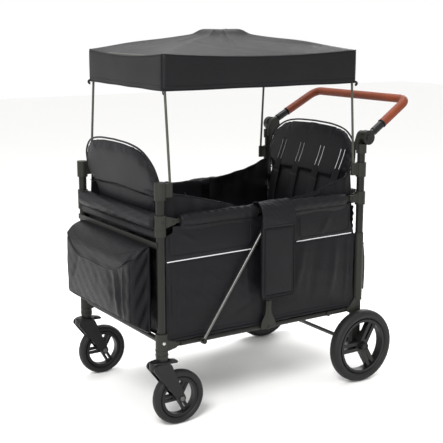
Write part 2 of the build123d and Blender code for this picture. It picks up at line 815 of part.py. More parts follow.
def seat_back(end, top_z):
    foot_z = seat_top + seat_gap
    foot = (back_face_x(end, foot_z) - end * back_t, 0, foot_z)
    lean = (end * sin(radians(back_tilt)), 0, cos(radians(back_tilt)))
    face = Plane(origin=foot, x_dir=(0, end, 0), z_dir=Vector(0, end, 0).cross(Vector(*lean)))
    height = (top_z - foot_z) / cos(radians(back_tilt))
    neck = (top_rail_z + 40 - foot_z) / cos(radians(back_tilt))
    wide = neck + 90
    with BuildSketch(face) as outline_face:
        with BuildLine():
            Polyline((0, 0), (back_base_half, 0), (back_base_half, neck))
            Spline(
                (back_base_half, neck),
                (back_half, wide),
                (back_half * 0.86, height - 38),
                (back_half * 0.5, height - 5),
                (0, height),
                tangents=[(0.2, 1), (-1, 0)],
            )
            Line((0, height), (0, 0))
        make_face()
        mirror(about=Plane.YZ)
    extrude(outline_face.sketch, amount=back_t)


for end, top_z in ((-1, front_back_top), (1, rear_back_top)):
    with BuildPart() as back:
        seat_back(end, top_z)
        if end > 0:
            # its cover is sewn round the rear cross tube
            rail_sleeve(rear_x, rail_pad_r + 3)
    finish(back, f"{'front' if end < 0 else 'rear'}_seat_back")

for end in ends:
    with BuildPart() as cushion:
        hinge_x = back_face_x(end, seat_top) - end * (back_t + 2 * seat_gap)
        low_x, high_x = min(hinge_x, hinge_x - end * seat_depth), max(hinge_x, hinge_x - end * seat_depth)
        block((low_x, -seat_half, seat_top - seat_t), (high_x, seat_half, seat_top))
        fillet(cushion.edges().filter_by(Axis.Y).group_by(Axis.X)[0 if end > 0 else -1], 12)
    finish(cushion, f"{'front' if end < 0 else 'rear'}_seat")

with BuildPart() as harness_straps:
    lean = Vector(sin(radians(back_tilt)), 0, cos(radians(back_tilt)))
    for y in strap_ys:
        foot_x = back_face_x(1, strap_bottom) - back_t - seat_gap - strap_t / 2
        with BuildSketch(Plane(origin=(foot_x, y, strap_bottom), x_dir=(0, 1, 0), z_dir=lean)) as webbing:
            Rectangle(strap_w, strap_t)
        extrude(webbing.sketch, amount=(strap_top - strap_bottom) / cos(radians(back_tilt)))
finish(harness_straps, "harness_straps")

# --- bags --------------------------------------------------------------------------------------------------
bag_back_x = front_strap_x - strap_bar_t - seat_gap
flap_front_x = front_x - front_reach
bag_front_x = flap_front_x + flap_t + seat_gap

# open topped shell: level mouth, upright front, bottom rising towards the front
with BuildPart() as storage_bag:
    with BuildSketch(plate_plane(bag_half)) as view:
        with BuildLine():
            Polyline(
                (bag_back_x, bag_top),
                (bag_front_x, bag_top),
                (bag_front_x, bag_front_bottom),
                (bag_back_x, bag_back_bottom),
                close=True,
            )
        make_face()
    extrude(view.sketch, amount=2 * bag_half)
    fillet(storage_bag.edges().filter_by(Axis.Z).group_by(Axis.X)[0], bag_round)
    offset(amount=-bag_wall, openings=storage_bag.faces().sort_by(Axis.Z)[-1])
finish(storage_bag, "storage_bag")

# flap: a lid hinged at the back, with a tongue down the front
flap_low_z = bag_top + seat_gap
with BuildPart() as storage_bag_flap:
    with BuildSketch(Plane.XY.offset(flap_low_z)) as lid:
        with BuildLine():
            Polyline(
                (bag_back_x - seat_gap, -bag_half),
                (bag_back_x - seat_gap, bag_half),
                (flap_front_x, bag_half),
                (flap_front_x, -bag_half),
                close=True,
            )
        make_face()
        fillet(lid.vertices().group_by(Axis.X)[0], bag_round)
    extrude(lid.sketch, amount=flap_t)
    tongue_y = bag_half - bag_round - 5
    block((flap_front_x, -tongue_y, bag_top - flap_drop), (flap_front_x + flap_t, tongue_y, flap_low_z))
finish(storage_bag_flap, "storage_bag_flap")

with BuildPart() as rear_pouch:
    pouch_front = rear_x - post_r - 1 + panel_t + seat_gap
    with BuildSketch(plate_plane(pouch_half)) as view:
        with BuildLine():
            Polyline(
                (pouch_front, pouch_bottom + 26),
                (pouch_front, pouch_top),
                (pouch_front + pouch_depth - 30, pouch_top),
                (pouch_front + pouch_depth, pouch_top - 40),
                (pouch_front + pouch_depth, pouch_bottom),
                (pouch_front + 60, pouch_bottom),
                close=True,
            )
        make_face()
    extrude(view.sketch, amount=2 * pouch_half)
    fillet(rear_pouch.edges().filter_by(Axis.Z).group_by(Axis.X)[-1], 25)
    offset(amount=-pouch_wall, openings=rear_pouch.faces().sort_by(Axis.Z)[-1])
finish(rear_pouch, "rear_pouch")

# organiser pocket that hangs over the top rail at the centre of the left side
with BuildPart() as side_pocket:
    pouch_in = outer_stay_y + stay_r + 1
    low_x, high_x = pocket_x - pocket_w / 2, pocket_x + pocket_w / 2
    block((low_x, -pouch_in - pocket_t, pocket_bottom), (high_x, -pouch_in, pocket_top))
    saddle_low, saddle_high = pocket_x - saddle_w / 2, pocket_x + saddle_w / 2
    saddle_top = top_rail_z + pad_r + 2 + saddle_t
    saddle_in = post_y - pad_r - 3
    block((saddle_low, -pouch_in - 4, saddle_top - saddle_t), (saddle_high, -saddle_in + 4, saddle_top))
    block((saddle_low, -pouch_in - 4, pocket_top - 4), (saddle_high, -pouch_in, saddle_top))
    block((saddle_low, -saddle_in, top_rail_z - 40), (saddle_high, -saddle_in + 4, saddle_top))
    # stitched web that ties the pocket to the top of the centre post
    block((mid_x - 9, -pouch_in, top_rail_z - 8), (mid_x + 9, -bar_y - post_bar_t - seat_gap, top_rail_z + 8))
finish(side_pocket, "side_pocket")
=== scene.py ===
import math
import bmesh
import bpy
import numpy as np
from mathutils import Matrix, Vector


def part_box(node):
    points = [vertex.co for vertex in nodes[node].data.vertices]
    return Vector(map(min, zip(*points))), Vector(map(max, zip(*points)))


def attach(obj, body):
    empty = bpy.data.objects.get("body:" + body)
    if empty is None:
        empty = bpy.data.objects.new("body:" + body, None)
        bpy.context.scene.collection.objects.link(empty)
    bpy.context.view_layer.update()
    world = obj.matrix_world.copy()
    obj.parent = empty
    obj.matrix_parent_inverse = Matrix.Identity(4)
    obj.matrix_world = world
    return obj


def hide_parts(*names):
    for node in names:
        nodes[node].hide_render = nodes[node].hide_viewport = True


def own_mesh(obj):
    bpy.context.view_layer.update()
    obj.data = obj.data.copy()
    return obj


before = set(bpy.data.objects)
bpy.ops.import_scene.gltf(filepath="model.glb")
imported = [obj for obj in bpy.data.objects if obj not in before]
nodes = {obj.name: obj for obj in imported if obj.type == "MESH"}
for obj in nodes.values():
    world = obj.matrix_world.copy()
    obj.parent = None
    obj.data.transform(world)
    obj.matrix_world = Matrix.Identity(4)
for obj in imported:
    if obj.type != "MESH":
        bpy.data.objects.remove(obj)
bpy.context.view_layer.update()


def middle(node):
    low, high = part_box(node)
    return (low + high) / 2


frontX = middle("front_post_left").x
rearX = middle("rear_post_left").x
postY = middle("rear_post_right").y
midX = (frontX + rearX) / 2
railZ = middle("top_rails_front").z
print("frame loaded, posts at", round(frontX, 3), round(rearX, 3), round(postY, 3))

# ---- camera, lights and floor ----
stageLook = {"cameraAt": (-2.1081, -3.1572, 1.4171), "target": (-0.0683, 0.0, 0.6403), "lens": 79.37,
             "sky": 1.0, "floorColour": (0.95, 0.945, 0.935), "keyPower": 170, "topPower": 90, "rimPower": 45}


def makeStage(s):
    scene = bpy.context.scene
    scene.view_settings.view_transform = "Standard"
    camera = bpy.data.objects.new("camera", bpy.data.cameras.new("camera"))
    scene.collection.objects.link(camera)
    camera.data.lens = s["lens"]
    camera.data.sensor_width = 36
    camera.location = s["cameraAt"]
    camera.rotation_mode = "QUATERNION"
    camera.rotation_quaternion = (Vector(s["target"]) - Vector(s["cameraAt"])).to_track_quat("-Z", "Y")
    scene.camera = camera
    world = bpy.data.worlds.new("studio")
    scene.world = world
    world.use_nodes = True
    world.node_tree.nodes["Background"].inputs[0].default_value = (1, 1, 1, 1)
    world.node_tree.nodes["Background"].inputs[1].default_value = s["sky"]
    for name, place, aim, power, size in (
            ("keyLight", (-2.6, -2.4, 3.2), (0, 0, 0.6), s["keyPower"], 1.6),
            ("topLight", (0.2, 0.6, 3.6), (0, 0, 0.9), s["topPower"], 2.2),
            ("rimLight", (2.8, 1.6, 2.0), (0.2, 0, 0.7), s["rimPower"], 1.4)):
        lamp = bpy.data.lights.new(name, "AREA")
        lamp.energy = power
        lamp.size = size
        lamp.shape = "DISK"
        holder = bpy.data.objects.new(name, lamp)
        scene.collection.objects.link(holder)
        holder.location = place
        holder.rotation_mode = "QUATERNION"
        holder.rotation_quaternion = (Vector(aim) - Vector(place)).to_track_quat("-Z", "Y")


makeStage(stageLook)


# ---- shader maths ----
class Wire:
    # a socket that takes Python arithmetic; each operator adds one Math node
    def __init__(self, paint, socket):
        self.paint, self.socket = paint, socket

    def sum(self, kind, left, right):
        return self.paint.node("ShaderNodeMath", {"operation": kind}, {0: left, 1: right})

    def __add__(self, other):
        return self.sum("ADD", self, other)

    def __sub__(self, other):
        return self.sum("SUBTRACT", self, other)

    def __rsub__(self, other):
        return self.sum("SUBTRACT", other, self)

    def __mul__(self, other):
        return self.sum("MULTIPLY", self, other)

    def __truediv__(self, other):
        return self.sum("DIVIDE", self, other)

    def __pow__(self, other):
        return self.sum("POWER", self, other)

    __radd__ = __add__
    __rmul__ = __mul__


class Paint:
    # one material; fixed values go straight on the shader's sockets
    def __init__(self, name, **fixed):
        self.material = bpy.data.materials.new(name)
        self.material.use_nodes = True
        self.tree = self.material.node_tree
        self.shader = self.tree.nodes["Principled BSDF"]
        for key, value in fixed.items():
            self.shader.inputs[key.replace("_", " ")].default_value = value
        self.place = self.node("ShaderNodeTexCoord", {}, {}, "Object")

    def node(self, kind, settings, values, out=0):
        made = self.tree.nodes.new(kind)
        for key, value in settings.items():
            setattr(made, key, value)
        for key, value in values.items():
            if isinstance(value, Wire):
                self.tree.links.new(value.socket, made.inputs[key])
            else:
                made.inputs[key].default_value = value
        return Wire(self, made.outputs[out])

    def axes(self):
        split = self.tree.nodes.new("ShaderNodeSeparateXYZ")
        self.tree.links.new(self.place.socket, split.inputs[0])
        return [Wire(self, split.outputs[i]) for i in range(3)]

    def noise(self, scale, detail=3.0, rough=0.5, stretch=(1, 1, 1)):
        spread = self.node("ShaderNodeMapping", {}, {"Vector": self.place, "Scale": stretch})
        return self.node("ShaderNodeTexNoise", {}, {"Vector": spread, "Scale": scale, "Detail": detail,
                                                    "Roughness": rough})

    def wave(self, axis, pitch):
        return self.sine(axis * (2 * math.pi / pitch))

    def sine(self, value):
        return self.node("ShaderNodeMath", {"operation": "SINE"}, {0: value})

    def between(self, mask, first, second):
        return self.node("ShaderNodeMix", {"data_type": "RGBA"}, {0: mask, 6: (*first, 1), 7: (*second, 1)}, 2)

    def feed(self, socket, wire):
        self.tree.links.new(wire.socket, self.shader.inputs[socket])
        return self

    def raised(self, height, distance, strength=1.0):
        bump = self.node("ShaderNodeBump", {}, {"Height": height, "Distance": distance, "Strength": strength})
        return self.feed("Normal", bump)


def clothPaint(name, s):
    # plain weave: product of sines along each pair of axes; soft crumple and a slow change of tone
    p = Paint(name, Specular_IOR_Level=s["shine"], Sheen_Weight=s["sheen"], Sheen_Roughness=0.45,
              Sheen_Tint=(0.75, 0.78, 1.0, 1))
    x, y, z = p.axes()
    wx, wy, wz = (p.wave(a, s["pitch"]) for a in (x, y, z))
    weave = wx * wy + wy * wz + wz * wx
    tone = p.noise(s["cloud"], 4.0, 0.55)
    crumple = p.noise(s["crumple"], 3.0, 0.5, s["stretch"])
    p.feed("Base Color", p.between(tone * 0.8 + weave * 0.12 + 0.1, s["dark"], s["light"]))
    p.feed("Roughness", s["rough"] - 0.16 * tone)
    return p.raised(crumple * s["creaseDepth"] + weave * 0.05, 0.006, s["relief"]).material


def paintedPaint(name, s):
    # powder coat or moulded plastic: fine orange peel, faint wear where the noise peaks
    p = Paint(name, Metallic=s.get("metal", 0.0), Specular_IOR_Level=s["shine"], Coat_Weight=s.get("coat", 0.0),
              Coat_Roughness=0.3)
    grain, patch = p.noise(s["grain"], 2.0), p.noise(14, 5.0, 0.6)
    p.feed("Base Color", p.between(patch, s["dark"], s["light"]))
    p.feed("Roughness", s["rough"] + 0.14 * patch + 0.05 * grain)
    return p.raised(grain, s["depth"], 0.5).material


def leatherPaint(name, s):
    # pebbled grain from cells, lighter in the hollows between them, and patches of tone where hands wear it
    p = Paint(name, Specular_IOR_Level=0.22)
    cells = p.node("ShaderNodeTexVoronoi", {"feature": "SMOOTH_F1"}, {"Vector": p.place, "Scale": s["grain"]})
    wear = p.noise(11, 4.0, 0.6)
    fibre = p.noise(240, 3.0)
    p.feed("Base Color", p.between(wear * 0.9 + cells * 0.35 - 0.15, s["dark"], s["light"]))
    p.feed("Roughness", 0.36 + 0.2 * wear + 0.1 * fibre)
    return p.raised(1 - cells + fibre * 0.2, 0.0012, 0.8).material


clothLook = {"pitch": 0.0024, "cloud": 6.0, "crumple": 7.0, "stretch": (1, 1, 0.45), "creaseDepth": 1.0,
             "relief": 0.45, "rough": 0.44, "shine": 0.14, "sheen": 0.0, "dark": (0.0028, 0.0028, 0.0036),
             "light": (0.0062, 0.0062, 0.0078)}
padLook = dict(clothLook, crumple=10.0, relief=0.3, rough=0.50, sheen=0.01, dark=(0.0036, 0.0036, 0.0044),
               light=(0.0072, 0.0072, 0.0088))
roofLook = dict(clothLook, crumple=5.0, stretch=(1, 1, 1), relief=0.35, rough=0.52, sheen=0.01,
                dark=(0.0036, 0.0036, 0.0042), light=(0.0070, 0.0070, 0.0080))
webLook = dict(clothLook, pitch=0.0036, crumple=30.0, relief=0.5, rough=0.6)
frameLook = {"dark": (0.0048, 0.0048, 0.0036), "light": (0.0085, 0.0085, 0.0066), "rough": 0.30, "shine": 0.24,
             "grain": 900, "depth": 0.0002}
mouldingLook = dict(frameLook, dark=(0.0100, 0.0102, 0.0078), light=(0.0160, 0.0164, 0.0128), rough=0.40, grain=700)
blackLook = dict(frameLook, dark=(0.0040, 0.0040, 0.0040), light=(0.0072, 0.0072, 0.0070), rough=0.32, grain=650)
rubberLook = dict(blackLook, dark=(0.0062, 0.0062, 0.0062), light=(0.0110, 0.0110, 0.0106), rough=0.46, grain=500,
                  shine=0.24, depth=0.0004)
poleLook = dict(frameLook, dark=(0.050, 0.052, 0.040), light=(0.085, 0.088, 0.070), rough=0.28, metal=0.6)
stayLook = dict(frameLook, dark=(0.075, 0.075, 0.072), light=(0.13, 0.13, 0.125), rough=0.26, metal=0.85)
steelLook = dict(frameLook, dark=(0.35, 0.35, 0.34), light=(0.55, 0.55, 0.54), rough=0.25, metal=0.95)
tapeLook = dict(frameLook, dark=(0.42, 0.42, 0.43), light=(0.6, 0.6, 0.62), rough=0.45, metal=0.0, grain=1200)
leatherLook = {"grain": 420, "dark": (0.085, 0.017, 0.006), "light": (0.21, 0.042, 0.013)}

paints = {
    "tubCloth": clothPaint("tubCloth", clothLook),
    "padCloth": clothPaint("padCloth", padLook),
    "roofCloth": clothPaint("roofCloth", roofLook),
    "webbing": clothPaint("webbing", webLook),
    "framePaint": paintedPaint("framePaint", frameLook),
    "moulding": paintedPaint("moulding", mouldingLook),
    "blackMoulding": paintedPaint("blackMoulding", blackLook),
    "tyreRubber": paintedPaint("tyreRubber", rubberLook),
    "poleMetal": paintedPaint("poleMetal", poleLook),
    "stayMetal": paintedPaint("stayMetal", stayLook),
    "pinSteel": paintedPaint("pinSteel", steelLook),
    "reflectiveTape": paintedPaint("reflectiveTape", tapeLook),
    "gripLeather": leatherPaint("gripLeather", leatherLook),
}
print("materials made:", len(paints))


# ---- mesh tools ----
def surface(name, grid, loopU=False, loopV=False, capFirst=False, capLast=False, closed=False):
    # rows x columns x 3 points; quads join neighbours, a loop joins the last to the first, a cap is a fan to the mean
    rows, columns = grid.shape[:2]
    index = np.arange(rows * columns).reshape(rows, columns)
    if loopU:
        index = np.vstack([index, index[:1]])
    if loopV:
        index = np.hstack([index, index[:, :1]])
    quads = np.stack([index[:-1, :-1], index[:-1, 1:], index[1:, 1:], index[1:, :-1]], -1).reshape(-1, 4).tolist()
    points = grid.reshape(-1, 3)
    faces = quads
    for wanted, row, turn in ((capFirst, 0, 1), (capLast, -1, -1)):
        if wanted:
            rim = index[row]
            middlePoint = len(points)
            points = np.vstack([points, grid[row].mean(0)[None]])
            pairs = np.stack([rim[1:], rim[:-1]], -1)[:, ::turn]
            faces = faces + np.hstack([pairs, np.full((len(pairs), 1), middlePoint)]).tolist()
    mesh = bpy.data.meshes.new(name)
    mesh.from_pydata(points.tolist(), [], faces)
    mesh.validate()
    if closed:
        work = bmesh.new()
        work.from_mesh(mesh)
        bmesh.ops.remove_doubles(work, verts=work.verts, dist=1e-6)
        bmesh.ops.recalc_face_normals(work, faces=work.faces)
        work.to_mesh(mesh)
        work.free()
    mesh.shade_smooth()
    piece = bpy.data.objects.new(name, mesh)
    bpy.context.scene.collection.objects.link(piece)
    return piece


def unit(v):
    return v / np.maximum(np.linalg.norm(v, axis=-1, keepdims=True), 1e-12)


def power(value, exponent):
    return np.sign(value) * np.abs(value) ** exponent


def carried(name, path, across, along, ref=(0, 0, 1), square=1.0, sides=12, ring=False):
    # an oval of half sizes across x along, carried down a path; ref fixes how it is turned; square < 1 boxes it
    path = np.asarray(path, float)
    tangent = unit(np.gradient(path, axis=0))
    if ring:
        tangent = unit(np.roll(path, -1, 0) - np.roll(path, 1, 0))
    side = unit(np.cross(tangent, np.asarray(ref, float)))
    up = np.cross(side, tangent)
    turn = np.linspace(0, 2 * np.pi, sides, endpoint=False)
    across, along = (np.broadcast_to(np.asarray(a, float), len(path))[:, None, None] for a in (across, along))
    grid = (path[:, None] + side[:, None] * across * power(np.cos(turn), square)[None, :, None]
            + up[:, None] * along * power(np.sin(turn), square)[None, :, None])
    return surface(name, grid, loopU=ring, loopV=True, capFirst=not ring, capLast=not ring, closed=True)


def smoothPath(points, count):
    # Catmull-Rom through the points, sampled evenly in its parameter
    p = np.asarray(points, float)
    p = np.vstack([2 * p[0] - p[1], p, 2 * p[-1] - p[-2]])
    t = np.linspace(0, len(p) - 3 - 1e-9, count)
    k = t.astype(int)
    f = (t - k)[:, None]
    a, b, c, d = p[k], p[k + 1], p[k + 2], p[k + 3]
    return 0.5 * (2 * b + (c - a) * f + (2 * a - 5 * b + 4 * c - d) * f ** 2 + (3 * b - a - 3 * c + d) * f ** 3)


def pillow(outline, height, edge=7.0, crown=0.25, rings=14, relief=None):
    # closed pad on a star-shaped outline (n x 2); share s of the way out has half height
    # height/2 * sqrt(1 - s^edge) * (1 - crown * s^2); returned as (across, up, out) points
    s = np.sin(np.linspace(0.02, np.pi / 2, rings)) ** 0.7
    s = np.concatenate([s, s[-2::-1]])
    sign = np.where(np.arange(len(s)) < rings, 1.0, -1.0)
    out = sign * height / 2 * np.sqrt(np.maximum(1 - s ** edge, 0)) * (1 - crown * s ** 2)
    centre = outline.mean(0)
    flat = centre + (outline - centre)[None] * s[:, None, None]
    grid = np.concatenate([flat, np.broadcast_to(out[:, None, None], (*flat.shape[:2], 1))], -1)
    if relief is not None:
        grid[..., 2] += (relief(grid[..., 0], grid[..., 1]) * np.where(sign > 0, 1.0, -1.0)[:, None]
                         * (s[:, None] < 0.999))
    return grid


def set3(grid, origin, across, up, out):
    # pad points (across, up, out) into the row frame
    axes = np.array([across, up, out], float)
    return np.asarray(origin, float) + grid @ axes


def bulge(a, low, high):
    # 0 at both ends, 1 in the middle
    return np.sin(np.pi * np.clip((a - low) / (high - low), 0, 1))


def fold(x, z, start, end, width, depth):
    # a raised fold along the line start-end: a bell across it that fades out at its ends
    start, end = np.array(start), np.array(end)
    line = end - start
    length = np.hypot(*line)
    t = ((x - start[0]) * line[0] + (z - start[1]) * line[1]) / length ** 2
    off = ((x - start[0]) * line[1] - (z - start[1]) * line[0]) / length
    return (depth * np.exp(-(off / width) ** 2) * np.sin(np.pi * np.clip(t * 0.8 + 0.1, 0, 1))
            * (t > -0.12) * (t < 1.12))


def ripple(a, b, seed, size, depth, octaves=3):
    # smooth seeded waves in two directions
    rng = np.random.default_rng(seed)
    total = 0
    for k in range(octaves):
        ka, kb = rng.normal(0, 1, 2) * 2 * np.pi / size * (1.7 ** k)
        total = total + np.sin(a * ka + b * kb + rng.uniform(0, 6.28)) * 0.6 ** k
    return total * depth


def wear(piece, paint, body, slot, cad=(), thick=0.0, sharp=None):
    # gives a finished piece its paint and body, and hides the CAD solids it stands for; the slot argument is not used
    piece.data.materials.clear()
    piece.data.materials.append(paints[paint])
    if sharp:
        piece.data.set_sharp_from_angle(angle=math.radians(sharp))
    if thick:
        solid = piece.modifiers.new("thickness", "SOLIDIFY")
        solid.thickness = thick
        solid.offset = 0
    if body:
        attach(piece, body)
    if cad:
        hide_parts(*cad)
    return piece


def puff(piece, s, pinned=None):
    # blows a closed pad up as cloth under pressure; pinned(points) says which points its seams hold
    remesh = piece.modifiers.new("remesh", "REMESH")
    remesh.mode = "VOXEL"
    remesh.voxel_size = s["voxel"]
    graph = bpy.context.evaluated_depsgraph_get()
    mesh = bpy.data.meshes.new_from_object(piece.evaluated_get(graph))
    piece.modifiers.clear()
    piece.data = mesh
    rest = np.zeros(len(mesh.vertices) * 3)
    mesh.vertices.foreach_get("co", rest)
    rest = rest.reshape(-1, 3)
    cloth = piece.modifiers.new("cloth", "CLOTH")
    if pinned is not None:
        group = piece.vertex_groups.new(name="seams")
        group.add(np.nonzero(pinned(rest))[0].tolist(), 1.0, "REPLACE")
        cloth.settings.vertex_group_mass = "seams"
    cloth.settings.use_pressure = True
    cloth.settings.uniform_pressure_force = s["pressure"]
    cloth.settings.tension_stiffness = cloth.settings.compression_stiffness = s["stiff"]
    cloth.settings.bending_stiffness = 0.4
    cloth.settings.effector_weights.gravity = 0
    cloth.settings.quality = 4
    for step in range(1, s["steps"] + 1):
        bpy.context.scene.frame_set(step)
    graph = bpy.context.evaluated_depsgraph_get()
    blown = bpy.data.meshes.new_from_object(piece.evaluated_get(graph))
    after = np.zeros(len(rest) * 3)
    blown.vertices.foreach_get("co", after)
    move = after.reshape(-1, 3) - rest
    far = np.linalg.norm(move, axis=1, keepdims=True)
    move *= np.minimum(1.0, s["cap"] / np.maximum(far, 1e-9))
    piece.modifiers.clear()
    piece.vertex_groups.clear()
    mesh.vertices.foreach_set("co", (rest + move).astype(np.float32).ravel())
    mesh.shade_smooth()
    bpy.data.meshes.remove(blown)
    bpy.context.scene.frame_set(1)
    print("blown up:", piece.name, len(rest), "points, moved up to", round(float(far.max()), 4))
    return piece


# ---- CAD nodes that stay, with better finishes ----
nodePaints = {
    "framePaint": ["front_post_left", "front_post_right", "rear_post_left", "rear_post_right", "front_cross_tubes",
                   "rear_cross_tubes", "top_rails_front", "top_rails_rear", "bottom_rails_front", "bottom_rails_rear",
                   "centre_posts", "handle_tube"],
    "moulding": ["front_rail_brackets", "rear_rail_brackets", "front_canopy_sockets", "rear_canopy_sockets",
                 "handle_hubs", "caster_housings", "rear_leg_sleeves"],
    "blackMoulding": ["caster_fork_left", "caster_fork_right", "swivel_lock_lever_left", "swivel_lock_lever_right",
                      "front_rim_left", "front_rim_right", "rear_rim_left", "rear_rim_right", "brake_pedal",
                      "handle_button_left", "handle_button_right"],
    "poleMetal": ["canopy_poles_front", "canopy_poles_rear"],
    "stayMetal": ["diagonal_stays_front", "diagonal_stays_rear", "front_axle_left", "front_axle_right", "rear_axle"],
    "gripLeather": ["handle_grip"],
}
for paintName, names in nodePaints.items():
    for nodeName in names:
        nodes[nodeName].data.materials.clear()
        nodes[nodeName].data.materials.append(paints[paintName])

# ---- tyres ----
tyreLook = {"front": {"ribs": 84, "ribDepth": 0.0011}, "rear": {"ribs": 118, "ribDepth": 0.0014}, "across": 30}


def makeTyre(name, node, body, s):
    # ring turned about the axle: section radius and half width follow a fat superellipse; ribs rise on the shoulders
    low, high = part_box(node)
    centre = (low + high) / 2
    radius, half = (high.z - low.z) / 2, (high.y - low.y) / 2
    bead = radius - (0.037 if radius > 0.12 else 0.027)
    around = np.linspace(0, 2 * np.pi, s["ribs"] * 6, endpoint=False)[:, None]
    section = np.linspace(0, 2 * np.pi, tyreLook["across"], endpoint=False)[None]
    reach, depth = (radius + bead) / 2, (radius - bead) / 2
    shoulder = np.exp(-((np.abs(np.sin(section)) - 0.62) / 0.2) ** 2) * (np.cos(section) > 0.1)
    rib = s["ribDepth"] * shoulder * (np.sin(around * s["ribs"]) > 0)
    groove = 0.0011 * np.exp(-(np.sin(section) / 0.09) ** 2) * (np.cos(section) > 0)
    r = reach + depth * power(np.cos(section), 0.85) - s["ribDepth"] * shoulder + rib - groove
    y = (half - 0.0005) * power(np.sin(section), 0.9) * np.ones_like(around)
    grid = np.stack([centre.x + r * np.cos(around), centre.y + y, centre.z + r * np.sin(around)], -1)
    tyre = surface(name, grid, loopU=True, loopV=True, closed=True)
    return wear(tyre, "tyreRubber", body, "tyre_rubber", [node])


for end in ("front", "rear"):
    for side in ("left", "right"):
        makeTyre(f"{end}Tyre{side.title()}", f"{end}_tyre_{side}", f"{end}_wheel_{side}", tyreLook[end])
print("tyres made")

# ---- small fittings ----
fittingLook = {"bandHeights": (0.012, 0.030), "bandR": 0.0222, "rivetR": 0.0062, "boltR": 0.0068, "screwR": 0.0045,
               "stayBoltR": 0.0065, "stayFoot": 0.290, "hubRingR": 0.0125}


def dome(name, centre, out, radius, body, paint="blackMoulding", slot="black_plastic", lift=0.45):
    # round screw head: a low dome on its rim
    out = unit(np.asarray(out, float))
    side = unit(np.cross(out, (0.3, 0.2, 0.9)))
    up = np.cross(out, side)
    turn = np.linspace(0, 2 * np.pi, 16, endpoint=False)[None, :, None]
    t = np.linspace(0, np.pi / 2 - 0.05, 5)[:, None, None]
    flat = side * np.cos(turn) + up * np.sin(turn)
    grid = np.asarray(centre, float) + radius * np.cos(t) * flat + out * radius * lift * np.sin(t)
    base = np.asarray(centre, float) + radius * flat - out * 0.002
    grid = np.concatenate([base, grid])
    return wear(surface(name, grid, loopV=True, capFirst=True, capLast=True, closed=True), paint, body, slot)


def hoop(name, centre, axis, radius, thick, body, paint, slot):
    # thin round ring about an axis
    axis = unit(np.asarray(axis, float))
    side = unit(np.cross(axis, (0.31, 0.27, 0.91)))
    up = np.cross(axis, side)
    turn = np.linspace(0, 2 * np.pi, 40, endpoint=False)[:, None]
    path = np.asarray(centre, float) + radius * (side * np.cos(turn) + up * np.sin(turn))
    return wear(carried(name, path, thick, thick, ref=axis, sides=8, ring=True), paint, body, slot)


for side, label in ((-1, "Left"), (1, "Right")):
    y = side * postY
    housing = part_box("caster_housings")
    for k, height in enumerate(fittingLook["bandHeights"]):
        hoop(f"housingBand{k}{label}", (frontX, y, housing[0].z + height), (0, 0, 1), fittingLook["bandR"], 0.0014,
             "front_frame", "moulding", "black_plastic")
    dome(f"housingRivet{label}", (frontX - 0.0015, side * (postY + 0.0212), housing[0].z + 0.058), (0, side, 0),
         fittingLook["rivetR"], "front_frame", "pinSteel", "steel_pin")
    for endX, body, tag in ((frontX, "front_frame", "Front"), (rearX, "rear_frame", "Rear")):
        inward = 1 if endX < 0 else -1
        dome(f"bracketBolt{tag}{label}", (endX + inward * 0.047, side * (postY + 0.0102), railZ), (0, side, 0),
             fittingLook["boltR"], body, "framePaint", "frame_tube")
        hoop(f"collarLine{tag}{label}", (endX, y, railZ - 0.0252), (0, 0, 1), 0.0201, 0.0007, body, "blackMoulding",
             "frame_tube")
        dome(f"collarScrew{tag}{label}", (endX, side * (postY + 0.0198), railZ), (0, side, 0),
             fittingLook["screwR"], body)
    dome(f"stayFootBolt{label}", (midX - fittingLook["stayFoot"], side * 0.3455, 0.297), (0, side, 0),
         fittingLook["stayBoltR"], "bottom_rails_front_half", "blackMoulding", "black_plastic")
    hubSpot = (middle("rear_rim_left").x, side * (abs(middle("rear_rim_left").y) + 0.0285), middle("rear_rim_left").z)
    hoop(f"rearHubRing{label}", hubSpot, (0, 1, 0), fittingLook["hubRingR"], 0.0013,
         "rear_wheel_left" if side < 0 else "rear_wheel_right", "blackMoulding", "black_plastic")
print("fittings made")

# ---- handle grip trim ----
gripLook = {"share": 0.36, "collar": 0.0178, "seam": 0.0007}


def makeGripTrim(s):
    hub = np.array([middle("handle_button_left").x, -0.319, middle("handle_button_left").z])
    corner = np.array([0.621, -0.289, 1.108])
    for side, label in ((1, "Left"), (-1, "Right")):
        flip = np.array([1, side, 1])
        start = (hub + (corner - hub) * s["share"]) * flip
        way = unit((corner - hub) * flip)
        hoop(f"gripCollar{label}", start, way, s["collar"] - 0.0022, 0.0026, "handle", "blackMoulding",
             "black_plastic")
        sleeve = start - way * np.linspace(0.056, 0.004, 12)[:, None]
        wear(carried(f"armSleeve{label}", sleeve, 0.0152, 0.0152, sides=24), "blackMoulding", "handle",
             "black_plastic")
        for k, r in enumerate((0.0225, 0.0165)):
            hoop(f"hubRing{label}{k}", hub * flip + [0, side * 0.0118, 0], (0, 1, 0), r, 0.0011, "handle", "moulding",
                 "frame_plastic")
    # a sewn seam along the underside of the bar
    y = np.linspace(-0.235, 0.235, 95)
    bar = np.stack([np.full_like(y, 0.621 - 0.0121), y, np.full_like(y, 1.108 - 0.0121)], -1)
    wear(carried("gripSeam", bar, s["seam"], s["seam"], sides=6), "gripLeather", "handle", "grip_leather")


makeGripTrim(gripLook)

# ---- canopy ----
roofLookSizes = {"halfLength": 0.416, "halfWidth": 0.324, "skew": 0.020, "hem": 1.186, "top": 1.306, "peak": 1.381,
                 "cornerR": 0.012, "perSide": 64, "roofRings": 40, "wallRings": 16, "dip": 0.015, "sag": 0.004,
                 "wrinkle": 0.0028}


